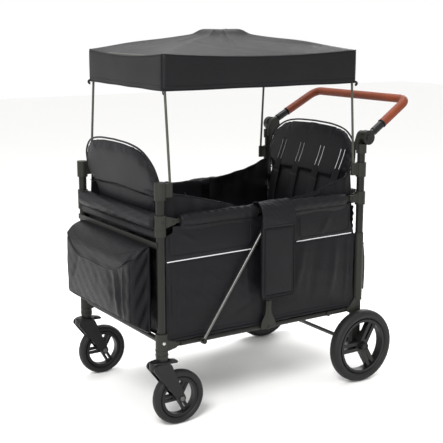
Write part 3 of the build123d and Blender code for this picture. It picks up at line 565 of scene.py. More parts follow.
def roofEdge(s, inset=0.0):
    # closed outline with rounded corners, from a square whose corners are eased
    n = s["perSide"]
    t = np.linspace(-1, 1, n, endpoint=False)
    ones = np.ones(n)
    square = np.concatenate([np.stack([t, -ones], -1), np.stack([ones, t], -1), np.stack([-t, ones], -1),
                             np.stack([-ones, -t], -1)])
    a, b = s["halfLength"] - inset, s["halfWidth"] - inset
    p = square * [a, b]
    r = s["cornerR"]
    inner = np.stack([np.clip(p[:, 0], -a + r, a - r), np.clip(p[:, 1], -b + r, b - r)], -1)
    away = p - inner
    length = np.linalg.norm(away, axis=1, keepdims=True)
    return inner + away / np.maximum(length, 1e-9) * r, square


def roofPoint(s, flat, share, square):
    # height of the roof at a share of the way from peak to edge: straight fall, a raised crown in the middle,
    # hip ridges at the corners, a sag between them and wrinkles that run out from the crown
    turn = np.arctan2(square[..., 1], square[..., 0])
    hip = np.abs(np.abs(np.tan(np.clip(turn, -9, 9))) - 1)
    hip = np.exp(-(np.minimum(np.abs(square[..., 0]), np.abs(square[..., 1])) - 1) ** 2 / 0.02)
    rise = s["peak"] - s["top"]
    fall = 1 - share
    height = rise * (0.94 * np.minimum(fall, 0.87) + 0.182 / (1 + np.exp((share - 0.185) / 0.014)))
    mid = np.minimum(np.abs(square[..., 0]), np.abs(square[..., 1]))
    between = (1 - mid) * np.sin(np.pi * np.clip(share, 0, 1)) * s["sag"]
    rng = np.random.default_rng(5)
    creases = sum(np.sin(turn * k + rng.uniform(0, 6.28)) / k ** 0.3 for k in (7, 11, 17, 23)) * s["wrinkle"] * 0.5
    creases = creases * np.exp(-((share - 0.42) / 0.28) ** 2)
    waves = ripple(flat[..., 0], flat[..., 1], 12, 0.23, 0.0012) * np.sin(np.pi * np.clip(share, 0, 1))
    return s["top"] + height - between + creases + waves + 0.0035 * hip * np.sin(np.pi * share)


def makeRoof(s):
    edge, square = roofEdge(s)
    share = np.linspace(0.01, 1, s["roofRings"])[:, None]
    flat = edge[None] * share[..., None]
    roofZ = roofPoint(s, flat, share, square[None])
    long = np.abs(square[:, 1]) > 0.999999
    along = np.where(long, square[:, 0], square[:, 1])
    dip = s["dip"] * (1 - along ** 2)  # the top seam hangs a little between the corners
    roofZ = roofZ - dip[None] * share ** 6
    down = np.linspace(0, 1, s["wallRings"] + 1)[1:, None]
    # the wall falls from the seam to the hem, blown out slightly and rippled towards the hem
    outward = unit(np.where(np.abs(edge) > [s["halfLength"] - 0.02, s["halfWidth"] - 0.02], edge, 0) + edge * 1e-6)
    puffed = 0.003 * np.sin(np.pi * down) * (1 - along ** 6) + 0.0010 * down * np.sin(along * 7.0 + square[:, 0] * 4)
    wall = edge[None] + outward[None] * (puffed + 0.0008)[..., None]
    hemWave = 0.0005 * np.sin(along * 9 + square[:, 1] * 2.0)
    top = roofZ[-1]
    wallZ = top[None] * (1 - down) + (s["hem"] + hemWave)[None] * down
    grid = np.concatenate([np.concatenate([flat, roofZ[..., None]], -1),
                           np.concatenate([wall, wallZ[..., None]], -1)])
    grid[..., 0] += midX + s["skew"] * grid[..., 1] / s["halfWidth"]
    roof = surface("canopyRoof", grid, loopV=True, capFirst=True)
    wear(roof, "roofCloth", "canopy_front", "fabric_black", ["canopy_roof"], thick=0.0016)
    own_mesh(roof)
    rows = {"top": s["roofRings"] - 1, "hem": len(grid) - 1, "stitch": len(grid) - 3}
    for label, row, radius, lift, paint in (("roofSeam", rows["top"], 0.0019, 0.0005, "roofCloth"),
                                            ("roofHem", rows["hem"], 0.0024, 0.0, "tubCloth"),
                                            ("roofStitch", rows["stitch"], 0.0010, 0.0009, "tubCloth")):
        path = grid[row] + np.concatenate([outward * lift, np.zeros((len(edge), 1))], -1)
        trim = wear(carried(label, path, radius, radius, sides=8, ring=True), paint, "canopy_front", "fabric_black")
        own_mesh(trim)
    # two lines of stitching each side of every corner, and a short loop under it
    n = s["perSide"]
    for corner in range(4):
        for k, step in enumerate((-1, 1)):
            column = (corner * n + step) % (4 * n)
            path = grid[s["roofRings"] - 1:, column] + [*(outward[column] * 0.0008), 0]
            line = wear(carried(f"cornerSeam{corner}{k}", path, 0.0013, 0.0013, ref=(1, 0.3, 0), sides=6),
                        "roofCloth", "canopy_front", "fabric_black")
            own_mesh(line)
        base = grid[-1, (corner * n) % (4 * n)]
        t = np.linspace(0, np.pi, 14)
        centre = base + [0, 0, 0.002]
        out = np.array([*unit(base[:2] - [midX, 0]), 0])
        loop = centre + out * 0.007 * np.sin(t)[:, None] + np.array([0, 0, -1]) * (0.006 - 0.006 * np.cos(t))[:, None]
        tag = wear(carried(f"cornerLoop{corner}", loop, 0.0045, 0.0006, ref=np.cross(out, (0, 0, 1)), square=0.6,
                           sides=8), "webbing", "canopy_front", "webbing")
        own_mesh(tag)


makeRoof(roofLookSizes)
print("canopy made")

# ---- side cloth of the tub ----
sideLook = {"y": 0.3125, "lowZ": 0.3105, "topZ": 0.722, "pipeZ": (0.597, 0.606), "columns": 240, "rows": 110,
            "pipeR": 0.0021}
tubEdge = 0.0156 + 0.0004


def sideRelief(x, z):
    # how far the cloth stands out: two blown-out fields, the seams that hold them, and hanging folds
    front, rear = x < midX, x >= midX
    lowField = bulge(z, 0.335, 0.600)
    topField = bulge(z, 0.604, 0.704)
    frontSpan, rearSpan = bulge(x, frontX + 0.02, midX - 0.03), bulge(x, midX + 0.03, rearX - 0.03)
    out = 0.008 * front * frontSpan ** 0.7 * lowField ** 0.8 + 0.013 * rear * rearSpan ** 0.7 * lowField ** 0.8
    out = out + 0.004 * (frontSpan * front + rearSpan * rear) * topField
    hanging = [((-0.488, 0.59), (-0.486, 0.34), 0.006, 0.0075), ((-0.470, 0.585), (-0.466, 0.36), 0.007, 0.0060),
               ((-0.448, 0.57), (-0.452, 0.42), 0.009, 0.0035), ((-0.33, 0.56), (-0.40, 0.36), 0.02, 0.0025),
               ((-0.17, 0.58), (-0.15, 0.35), 0.012, 0.0035), ((-0.24, 0.36), (-0.12, 0.42), 0.012, -0.003),
               ((0.10, 0.595), (0.055, 0.42), 0.015, 0.0065), ((0.16, 0.60), (0.12, 0.36), 0.020, -0.005),
               ((0.255, 0.595), (0.215, 0.35), 0.017, 0.0070), ((0.31, 0.60), (0.30, 0.34), 0.009, 0.0065),
               ((0.335, 0.60), (0.333, 0.36), 0.006, 0.0060), ((0.06, 0.70), (0.10, 0.61), 0.015, 0.003),
               ((0.22, 0.69), (0.17, 0.61), 0.013, 0.0035), ((-0.45, 0.70), (-0.38, 0.66), 0.008, 0.003)]
    for start, end, width, depth in hanging:
        out = out + fold(x, z, start, end, width, depth)
    out = out + ripple(x, z, 21, 0.12, 0.0007) * lowField
    pipe = pipeHeight(x)
    out = out - 0.0035 * np.exp(-((z - pipe) / 0.006) ** 2)
    return out - 0.003 * np.exp(-((x - midX) / 0.02) ** 2)


def pipeHeight(x):
    return sideLook["pipeZ"][0] + (sideLook["pipeZ"][1] - sideLook["pipeZ"][0]) * (x - frontX) / (rearX - frontX)


def sideY(x, z):
    return sideLook["y"] + np.clip(sideRelief(x, z), -0.004, 0.0145 + 0.006 * (x > midX))


def onSide(side, x, z, lift=0.0):
    return np.stack([x, side * (sideY(x, z) + lift), z], -1)


def makeSide(side, label, node, s):
    low, high = frontX + tubEdge, rearX - tubEdge - 0.008
    u, v = np.linspace(0, 1, s["columns"])[None], np.linspace(0, 1, s["rows"])[:, None]
    z = s["lowZ"] + (s["topZ"] - s["lowZ"]) * v
    # the upper rear edge leans forward, and both ends draw in where the brackets are
    rearEdge = high - 0.030 * np.clip((z - 0.59) / 0.07, 0, 1) - 0.004 * bulge(z, 0.34, 0.58)
    frontEdge = low + 0.0 * z + 0.030 * np.clip((z - 0.688) / 0.012, 0, 1)
    x = frontEdge + (rearEdge - frontEdge) * u
    z = z + 0.0015 * (1 - v) * np.sin(np.pi * u * 2) ** 2
    cloth = surface(f"sideCloth{label}", onSide(side, x, z))
    wear(cloth, "tubCloth", "front_frame", "fabric_black", [node], thick=0.0022)
    pieces = [cloth]
    halves = (("Front", low + 0.006, midX - 0.062), ("Rear", midX + 0.135 if side < 0 else midX + 0.03, 0.330))
    for tag, start, stop in halves:
        x = np.linspace(start, stop if side < 0 or tag == "Rear" else midX - 0.03, 70)
        pipe = carried(f"reflectivePiping{tag}{label}", onSide(side, x, pipeHeight(x), 0.0028), s["pipeR"],
                       s["pipeR"], sides=8)
        pieces.append(wear(pipe, "reflectiveTape", "front_frame", "fabric_black"))
        # welt round the upper field with rounded lower corners
        a, b = start + 0.012, x[-1] - 0.014
        corners = [(a, 0.692), (a, 0.640), (a + 0.008, 0.622), (a + 0.03, 0.616), ((a + b) / 2, 0.6165),
                   (b - 0.03, 0.618), (b - 0.008, 0.624), (b, 0.640), (b, 0.692)]
        path = smoothPath(corners, 110)
        welt = carried(f"fieldWelt{tag}{label}", onSide(side, path[:, 0], path[:, 1], 0.0012), 0.0016, 0.0016,
                       ref=(0, 1, 0), sides=6)
        pieces.append(wear(welt, "padCloth", "front_frame", "fabric_black"))
    x = np.linspace(low + 0.002, high - 0.004, 90)
    hemZ = s["lowZ"] + 0.0025 + 0.0015 * np.sin(np.pi * (x - low) / (high - low) * 2) ** 2
    hem = carried(f"tubHem{label}", onSide(side, x, hemZ, 0.001), 0.0042, 0.0052 + 0.0008 * np.sin(x * 70), sides=10)
    pieces.append(wear(hem, "tubCloth", "front_frame", "fabric_black"))
    stitch = carried(f"hemStitch{label}", onSide(side, x, hemZ + 0.016, 0.0012), 0.0008, 0.0008, sides=6)
    pieces.append(wear(stitch, "padCloth", "front_frame", "fabric_black"))
    for piece in pieces:
        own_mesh(piece)


for side, label, node in ((-1, "Left", "side_panel_left"), (1, "Right", "side_panel_right")):
    makeSide(side, label, node, sideLook)
print("side cloth made")

# ---- sleeves on the top rails ----
sleeveLook = {"top": 0.0240, "drop": 0.036, "half": 0.0200, "innerStop": 0.044, "outerStart": 0.030, "rows": 120,
              "sides": 40}


def makeSleeve(name, side, end, body, node, s):
    # hanging drop section carried along the rail: round over the tube, narrowing to a seam below, gathered at its
    # ends
    pivot = frontX + 0.047 if end < 0 else rearX - 0.047
    start, stop = pivot - end * s["outerStart"], midX + end * s["innerStop"]
    u = np.linspace(0, 1, s["rows"])[:, None]
    turn = np.linspace(0, 2 * np.pi, s["sides"], endpoint=False)[None]
    x = start + (stop - start) * u + 0 * turn  # 0 * turn spreads it over the grid
    gather = 0.72 + 0.28 * np.clip(np.minimum(u, 1 - u) * 14, 0, 1) ** 0.5
    below = np.maximum(0, -np.sin(turn))
    wrinkles = ripple(x, turn * 0.02, 31 + int(end), 0.05, 0.0007)
    wrinkles = wrinkles + 0.0013 * np.sin(x * 260 + turn) * (1 - gather) * 3
    y = (s["half"] + wrinkles) * np.cos(turn) * (1 - 0.72 * below ** 1.5) * gather
    z = np.where(np.sin(turn) > 0, s["top"] + wrinkles, s["drop"] + 0.003 * np.sin(x * 31)) * np.sin(turn) * gather
    y = y + 0.006 * below ** 2
    grid = np.stack([x, side * (postY + y), railZ + z], -1)
    sleeve = surface(name, grid, loopV=True, capFirst=True, capLast=True, closed=True)
    wear(sleeve, "padCloth", body, "fabric_pad", [node])
    line = np.stack([x[3:-3, 0], side * (postY + 0.0155 + 0 * u[3:-3, 0]), railZ - 0.021 + 0 * u[3:-3, 0]], -1)
    wear(carried(name + "Stitch", line, 0.0009, 0.0009, sides=6), "tubCloth", body, "fabric_pad")


for end, tag in ((-1, "front"), (1, "rear")):
    for side, label in ((-1, "Left"), (1, "Right")):
        makeSleeve(f"railSleeve{tag.title()}{label}", side, end, f"top_rails_{tag}_half", f"top_rail_pads_{tag}",
                   sleeveLook)
print("rail sleeves made")

# ---- corner wings between the seat backs and the rails ----
wingLook = {"reach": 0.300, "base": 0.600, "high": 0.836, "low": 0.762, "fall": {-1: 1.0, 1: 2.1}, "columns": 70,
            "rows": 26}


def makeWing(name, side, end, body, s):
    # a gusset that falls from the seat back's side to the rail in a slack curve, leaning inwards at its top
    postX = frontX if end < 0 else rearX
    u, v = np.linspace(0, 1, s["columns"])[None], np.linspace(0, 1, s["rows"])[:, None]
    topEdge = s["low"] + (s["high"] - s["low"]) * (1 - u) ** s["fall"][end] + 0.005 * np.sin(np.pi * u)
    z = s["base"] + (topEdge - s["base"]) * v
    x = postX - end * (0.020 + s["reach"] * u) + 0 * v
    lean = 0.012 * np.clip((z - railZ) / 0.09, 0, 1) + 0.004 * np.clip((0.67 - z) / 0.05, 0, 1)
    y = 0.2835 - lean - 0.004 * np.sin(u * 13 + v * 3) * v - 0.0025 * np.sin(u * 29 + 1) * v ** 2
    grid = np.stack([x, side * y, z], -1)
    wing = wear(surface(name, grid), "tubCloth", body, "fabric_black", thick=0.0024)
    edge = grid[-1] + [0, 0, 0.0006]
    welt = wear(carried(name + "Welt", edge, 0.0022, 0.0022, ref=(0, 1, 0), sides=8), "padCloth", body,
                "fabric_black")
    for piece in (wing, welt):
        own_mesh(piece)


for end, body, tag in ((-1, "front_frame", "Front"), (1, "rear_frame", "Rear")):
    for side, label in ((-1, "Left"), (1, "Right")):
        makeWing(f"cornerWing{tag}{label}", side, end, body, wingLook)
print("wings made")

# ---- guards inside the centre hinges ----
guardLook = {"half": 0.088, "low": 0.666, "top": 0.7615, "y": 0.2850}


def makeGuard(side, label, s):
    # small hanging cloth that covers the gap between the two sleeves, arched along its top
    u, v = np.linspace(-1, 1, 40)[None], np.linspace(0, 1, 20)[:, None]
    top = s["top"] - 0.004 * u ** 2 + 0.0012 * np.sin(u * 7)
    z = s["low"] + (top - s["low"]) * v
    y = s["y"] + 0.0015 * np.sin(u * 9 + v * 4) * v + 0.004 * np.clip((v - 0.85) / 0.15, 0, 1) ** 2
    guard = surface(f"hingeGuard{label}", np.stack([midX + s["half"] * u + 0 * v, side * y, z], -1))
    wear(guard, "tubCloth", "centre", "fabric_black", thick=0.0020)


for side, label in ((-1, "Left"), (1, "Right")):
    makeGuard(side, label, guardLook)

# ---- end cloths ----
endLook = {"half": 0.288, "lowZ": 0.333, "columns": 110, "rows": 60}


def makeEndCloth(name, end, body, node, topZ, s):
    # upright cloth between the posts, blown out a little, crumpled where it is tied to them
    postX = frontX if end < 0 else rearX
    u, v = np.linspace(-1, 1, s["columns"])[None], np.linspace(0, 1, s["rows"])[:, None]
    z = s["lowZ"] + (topZ - s["lowZ"]) * v + 0 * u
    y = s["half"] * u + 0 * v
    tie = np.clip((np.abs(u) - 0.86) / 0.14, 0, 1)
    puffOut = 0.004 * (1 - u ** 2) * np.sin(np.pi * v) + tie * 0.005 * np.sin(z * 190 + y * 90) * np.sin(z * 67)
    x = postX - end * 0.0150 + end * puffOut + 0.0012 * ripple(y, z, 41, 0.14, 1.0)
    cloth = wear(surface(name, np.stack([x, y, z], -1)), "tubCloth", body, "fabric_black", [node], thick=0.0022)


makeEndCloth("frontEndCloth", -1, "front_frame", "front_end_panel", 0.708, endLook)
makeEndCloth("rearEndCloth", 1, "rear_frame", "rear_end_panel", 0.706, endLook)

# ---- front rail roll ----
rollLook = {"half": 0.2915, "rows": 150, "sides": 56, "mainR": 0.0298, "lowerR": 0.0155}


def makeRoll(s):
    # two lobes sewn one above the other, carried across between the posts; the section is the outer of two circles
    u = np.linspace(-1, 1, s["rows"])[:, None]
    turn = np.linspace(0, 2 * np.pi, s["sides"], endpoint=False)[None]
    c, d = np.cos(turn), np.sin(turn)
    main = s["mainR"] + 0.0006 * ripple(u, turn, 51, 0.5, 1.0)
    drop = 0.044
    # ray from the upper circle's centre to the lower circle's far side
    dot = -d * drop
    inside = dot ** 2 - drop ** 2 + s["lowerR"] ** 2
    far = np.where((inside > 0) & (dot > 0), dot + np.sqrt(np.maximum(inside, 0)), 0)
    r = np.maximum(main, far * (1 + 0 * u))
    squeeze = 1 - 0.10 * np.clip((np.abs(u) - 0.97) / 0.03, 0, 1) ** 2
    r = r * squeeze
    sagging = -0.0025 * (1 - u ** 2)
    x = frontX - 0.001 + r * c
    z = railZ - 0.003 + r * d + sagging
    y = s["half"] * u + 0 * turn
    roll = surface("frontRailRoll", np.stack([x, y, z], -1), loopV=True, capFirst=True, capLast=True, closed=True)
    wear(roll, "padCloth", "front_frame", "fabric_pad", ["front_rail_pad"])
    y = np.linspace(-0.284, 0.284, 80)
    line = np.stack([np.full_like(y, frontX - 0.0170), y, railZ - 0.0315 - 0.0025 * (1 - (y / 0.29) ** 2)], -1)
    wear(carried("rollSeam", line, 0.0014, 0.0014, sides=6), "tubCloth", "front_frame", "fabric_pad")


makeRoll(rollLook)

# ---- seat backs ----
backLook = {"half": 0.281, "base": 0.228, "thick": 0.030, "tilt": 7.0, "count": 240, "bow": {-1: 0.028, 1: 0.024}}
puffLook = {"voxel": 0.0062, "pressure": 3.5, "stiff": 12.0, "steps": 18, "cap": 0.006}


def backOutline(s, topZ, footZ, neckZ):
    # half outline from the foot up: straight base, a waist that widens to the shoulders, a round top
    foot, neck, top = 0.0, neckZ - footZ, topZ - footZ
    half, base = s["half"], s["base"]
    side = smoothPath([(base, neck * 0.5), (base, neck), (base + 0.020, neck + 0.032), (half - 0.004, neck + 0.075),
                       (half, top - 0.125), (half - 0.018, top - 0.070), (half - 0.075, top - 0.024),
                       (half - 0.16, top - 0.005), (0.0, top)], s["count"] // 2 - 20)
    foot = np.stack([np.linspace(0, base, 16, endpoint=False), np.zeros(16)], -1)
    rise = np.stack([np.full(10, base), np.linspace(0, neck * 0.5, 10, endpoint=False)], -1)
    right = np.concatenate([foot, rise, side])
    return np.concatenate([right, right[-2:0:-1] * [-1, 1]])


def makeBack(name, end, body, node, topZ, seamZ, s):
    footZ = 0.5105
    tan = math.tan(math.radians(s["tilt"]))
    postX = frontX if end < 0 else rearX
    outerX = postX - end * 0.029 + end * (footZ - railZ) * tan
    lean = np.array([end * math.sin(math.radians(s["tilt"])), 0, math.cos(math.radians(s["tilt"]))])
    out = np.array([end * lean[2], 0, -end * lean[0]])
    scale = 1 / lean[2]
    origin = np.array([outerX, 0, footZ]) - out * s["thick"] / 2
    outline = backOutline(s, footZ + (topZ - footZ) * scale, footZ, footZ + (0.782 - footZ) * scale)
    seamUp = (seamZ - footZ) * scale

    def relief(a, b):
        # the channel of the cross seam
        return -0.0035 * np.exp(-((b - seamUp - 0.012 * np.cos(a * 5)) / 0.006) ** 2)

    def bowed(points):
        # the upper part leans out further, in a smooth curve that starts above the rail
        share = np.clip((points[..., 2] - 0.70) / 0.29, 0, 1)
        return points + np.array([end, 0, 0]) * (s["bow"][end] * share ** 1.1)[..., None]

    grid = pillow(outline, s["thick"] * 0.92, edge=9.0, crown=0.30, rings=26, relief=relief)
    pad = surface(name, bowed(set3(grid, origin, (0, 1, 0), lean, out)), loopV=True, capFirst=True, capLast=True,
                  closed=True)

    def pinned(points):
        up = (points - origin) @ lean
        across = points[:, 1]
        seam = np.abs(up - seamUp - 0.012 * np.cos(across * 5)) < 0.005
        return seam | (up < 0.02)

    puff(pad, puffLook, pinned)
    wear(pad, "padCloth", body, "fabric_pad", [node])
    ringOut = bowed(set3(np.concatenate([outline, np.zeros((len(outline), 1))], -1), origin, (0, 1, 0), lean, out))
    wear(carried(name + "Piping", ringOut, 0.0036, 0.0036, ref=out, sides=8, ring=True), "tubCloth", body,
         "fabric_pad")
    a = np.linspace(-0.205, 0.205, 60) if seamUp < 0.26 else np.linspace(-0.268, 0.268, 60)
    for face in (1, -1):
        seam = np.stack([a, seamUp + 0.012 * np.cos(a * 5), np.full_like(a, face * (s["thick"] * 0.40 - 0.0004))], -1)
        wear(carried(f"{name}Seam{'Out' if face > 0 else 'In'}", bowed(set3(seam, origin, (0, 1, 0), lean, out)),
                     0.0014, 0.0014, ref=out, sides=6), "padCloth", body, "fabric_pad")
    return origin, lean, out, bowed


makeBack("frontSeatBack", -1, "front_frame", "front_seat_back", 0.994, 0.806, backLook)
backOrigin, backLean, backOut, bowed = makeBack("rearSeatBack", 1, "rear_frame", "rear_seat_back", 1.011, 0.790,
                                                backLook)

# padded sleeve that ties the rear back to its cross tube
y = np.linspace(-0.268, 0.268, 90)
wear(carried("rearRailSleeve", np.stack([np.full_like(y, rearX), y, np.full_like(y, railZ)], -1),
             0.0285 + 0.0007 * np.sin(y * 90), 0.0285, sides=28), "padCloth", "rear_frame", "fabric_pad")
print("seat backs made")

# ---- harness ----
harnessLook = {"places": (-0.206, -0.078, 0.052, 0.176), "wide": 0.019}


def makeHarness(s):
    # shoulder straps lie on the back and leave it in a slack curve towards the seat
    for k, y in enumerate(s["places"]):
        low, high, foot = y, y - 0.022, y
        heights = [0.420, 0.375, 0.300, 0.200, 0.120, 0.052]
        shift = [high, high + 0.006, low, low + 0.006, low + 0.004, foot]
        off = [0.0010, 0.0016, 0.0030, 0.0055, 0.0060, 0.0040]
        points = smoothPath([(a, b, -backLook["thick"] / 2 - o) for a, b, o in zip(shift, heights, off)], 80)
        path = bowed(set3(points, backOrigin, (0, 1, 0), backLean, backOut))
        wear(carried(f"shoulderStrap{k}", path, s["wide"], 0.0018, ref=backOut, square=0.35, sides=14),
             "webbing", "rear_frame", "webbing", ["harness_straps"])
        if k == 0:
            print("strap length", round(float(np.linalg.norm(np.diff(path, axis=0), axis=1).sum()), 3))
        for edge in (-1, 1):
            line = bowed(set3(points[4:27] + [edge * (s["wide"] - 0.0075), 0, -0.0022], backOrigin, (0, 1, 0),
                              backLean, backOut))
            wear(carried(f"strapEdge{k}{'A' if edge < 0 else 'B'}", line, 0.0013, 0.0008, ref=backOut, sides=6),
                 "reflectiveTape", "rear_frame", "webbing")
        # quilted shoulder pad over the middle of the strap
        padPath = path[35:66]
        pad = carried(f"shoulderPad{k}", padPath, s["wide"] + 0.003, 0.0034, ref=backOut, square=0.6, sides=16)
        wear(pad, "padCloth", "rear_frame", "webbing")


makeHarness(harnessLook)
print("harness made")

# ---- seat cushions ----
seatLook = {"crown": 0.16, "puff": dict(puffLook, cap=0.007)}


def makeSeat(name, end, body, node, s):
    lo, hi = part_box(node)
    cx, cz = (lo.x + hi.x) / 2, (lo.z + hi.z) / 2
    hx, hy, hz = (hi.x - lo.x) / 2 - 0.004, hi.y - 0.004, (hi.z - lo.z) / 2
    turn = np.linspace(0, 2 * np.pi, 220, endpoint=False)
    outline = np.stack([hx * power(np.cos(turn), 0.30), hy * power(np.sin(turn), 0.22)], -1)

    def relief(a, b):
        # sewn channel down the middle and one across near the knees
        middleLine = np.exp(-(b / 0.006) ** 2)
        knee = np.exp(-((a + end * hx * 0.52) / 0.006) ** 2)
        return -0.005 * np.maximum(middleLine, knee)

    grid = pillow(outline, 2 * hz - 0.006, edge=8.0, crown=s["crown"], rings=24, relief=relief)
    pad = surface(name, set3(grid, (cx, 0, cz), (1, 0, 0), (0, 1, 0), (0, 0, 1)), loopV=True, capFirst=True,
                  capLast=True, closed=True)

    def pinned(points):
        top = points[:, 2] > cz
        nearMiddle = np.abs(points[:, 1]) < 0.005
        nearKnee = np.abs(points[:, 0] - cx + end * hx * 0.52) < 0.005
        return (top & (nearMiddle | nearKnee)) | (points[:, 2] < cz - hz * 0.8)

    puff(pad, s["puff"], pinned)
    wear(pad, "padCloth", body, "fabric_pad", [node])
    ring = set3(np.concatenate([outline, np.zeros((len(outline), 1))], -1), (cx, 0, cz), (1, 0, 0), (0, 1, 0),
                (0, 0, 1))
    wear(carried(name + "Piping", ring, 0.0032, 0.0032, sides=8, ring=True), "tubCloth", body, "fabric_pad")


makeSeat("frontSeat", -1, "front_bench", "front_seat", seatLook)
makeSeat("rearSeat", 1, "rear_bench", "rear_seat", seatLook)
print("seats made")

# ---- floor mat ----
def makeMat():
    lo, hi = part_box("floor_mat")
    u, v = np.linspace(-1, 1, 150)[None], np.linspace(-1, 1, 90)[:, None]
    x, y = (lo.x + hi.x) / 2 + (hi.x - lo.x) / 2 * u + 0 * v, hi.y * v + 0 * u
    quilt = np.abs(np.sin(x * math.pi / 0.11)) ** 0.35 * np.abs(np.sin(y * math.pi / 0.11 + 1.57)) ** 0.35
    rim = 1 - np.maximum(np.abs(u), np.abs(v)) ** 30
    top = lo.z + 0.0022 + 0.0040 * quilt * rim
    base = lo.z + 0.0004 + 0 * top
    upper, lower = np.stack([x, y, top], -1), np.stack([x, y, base], -1)
    rows = np.concatenate([upper, lower[::-1]])
    mat = surface("floorMat", rows, loopU=True, closed=True)
    work = bmesh.new()
    work.from_mesh(mat.data)
    bmesh.ops.holes_fill(work, edges=[e for e in work.edges if e.is_boundary], sides=0)
    bmesh.ops.recalc_face_normals(work, faces=work.faces)
    work.to_mesh(mat.data)
    work.free()
    wear(mat, "tubCloth", "front_frame", "fabric_black", ["floor_mat"])
    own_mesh(mat)


makeMat()
print("floor mat made")

# ---- storage bag at the front ----
bagLook = {"half": 0.270, "backX": -0.5358, "reach": 0.0800, "corner": 0.024, "top": 0.650, "round": 0.068,
           "lowFront": 0.380, "lowBack": 0.333, "columns": 200, "rows": 70}


def bagPlan(s, grow=0.0):
    # how far forward of the bag's back, and how far across, along its side, round corner, front and other side
    reach, half, r = s["reach"] + grow, s["half"] + grow, s["corner"]
    turn = np.linspace(0, np.pi / 2, 24)
    arc = np.stack([reach - r + r * np.sin(turn), half - r + r * np.cos(turn)], -1)
    right = np.concatenate([[[0, half]], arc, [[reach, 0]]])
    line = np.concatenate([right, right[-2::-1] * [1, -1]])
    length = np.concatenate([[0], np.cumsum(np.linalg.norm(np.diff(line, axis=0), axis=1))])
    even = np.linspace(0, length[-1], s["columns"])
    return np.stack([np.interp(even, length, line[:, 0]), np.interp(even, length, line[:, 1])], -1)


def bagRound(s, z):
    # share of the reach left at a height: 1 up to the shoulder, then a quarter circle to the top
    rise = np.clip((z - (s["top"] - s["round"])) / s["round"], 0, 1)
    return 1 - (s["round"] / s["reach"]) * (1 - np.sqrt(np.maximum(1 - rise ** 2, 0)))


def bagRelief(y, z):
    # the face swells, its near corner hangs in folds and the mouth is drawn in under the flap
    out = 0.0045 * bulge(y, -0.26, 0.26) * bulge(z, 0.37, 0.60)
    for start, end, width, depth in (((-0.150, 0.545), (-0.182, 0.39), 0.010, 0.0055),
                                     ((-0.178, 0.560), (-0.200, 0.40), 0.009, -0.0060),
                                     ((-0.215, 0.590), (-0.222, 0.39), 0.008, 0.0055),
                                     ((-0.120, 0.545), (-0.140, 0.42), 0.016, -0.0040),
                                     ((0.140, 0.545), (0.215, 0.44), 0.012, -0.0035),
                                     ((-0.010, 0.540), (-0.030, 0.45), 0.020, -0.0015)):
        out = out + fold(y, z, start, end, width, depth)
    return out + ripple(y, z, 61, 0.16, 0.0010)


def makeBag(s):
    plan = bagPlan(s)
    back = np.stack([np.zeros(60), np.linspace(-s["half"], s["half"], 62)[1:-1]], -1)
    plan = np.concatenate([plan, back])
    reach, across = plan[None, :, 0], plan[None, :, 1]
    v = np.linspace(0, 1, s["rows"])[:, None] ** 0.9
    low = s["lowBack"] + (s["lowFront"] - s["lowBack"]) * reach / s["reach"]
    z = low + (s["top"] - low) * v
    foot = 1 - 0.07 * np.clip(1 - v / 0.05, 0, 1) ** 2
    forward = reach * bagRound(s, z) * foot
    front = np.clip(reach / s["reach"], 0, 1) ** 3
    out = bagRelief(across, z) * front * np.clip((s["top"] - z) / 0.10, 0, 1)
    side = (np.abs(across) > s["half"] - 0.012) * (reach > 0.001) * np.clip(reach / 0.02, 0, 1)
    hollow = side * (0.0050 * bulge(z, 0.35, 0.64) + 0.0022 * np.sin(z * 75 + reach * 130))
    wall = np.stack([s["backX"] - forward - out, across * foot - np.sign(across) * hollow, z], -1)
    wall[..., 0] = np.maximum(wall[..., 0], -0.6370)
    share = np.sin(np.linspace(0.03, np.pi / 2, 14))[:, None, None]
    base, lid = (ring.mean(0) + (ring - ring.mean(0))[None] * share for ring in (wall[0], wall[-1]))
    bag = surface("storageBag", np.concatenate([base, wall[1:-1], lid[::-1]]), loopV=True, capFirst=True,
                  capLast=True, closed=True)
    wear(bag, "tubCloth", "front_frame", "fabric_black", ["storage_bag"])
    # trim down the two back corners, a gusset seam beside the front corner and a welt round the foot
    z = np.linspace(0.342, s["top"] - 0.006, 60)
    for side, label in ((-1, "Left"), (1, "Right")):
        edge = np.stack([s["backX"] - 0.006 + 0 * z,
                         side * (s["half"] + 0.0005 - 0.0035 * bulge(z, 0.35, 0.64)), z], -1)
        wear(carried(f"bagTrim{label}", edge, 0.0022, 0.0050, ref=(1, 0, 0), sides=8), "padCloth", "front_frame",
             "fabric_black")
    count = s["columns"]
    for label, column in (("Left", int(count * 0.905)), ("Right", int(count * 0.095))):
        wear(carried(f"bagGusset{label}", wall[3:-14, column], 0.0015, 0.0015, ref=(1, 0, 0), sides=6), "padCloth",
             "front_frame", "fabric_black")
    wear(carried("bagFootWelt", wall[1, :count], 0.0022, 0.0022, sides=8), "padCloth", "front_frame", "fabric_black")


makeBag(bagLook)

flapLook = {"columns": 150, "rows": 70, "middleZ": 0.549, "sideZ": 0.612, "clear": 0.0030}


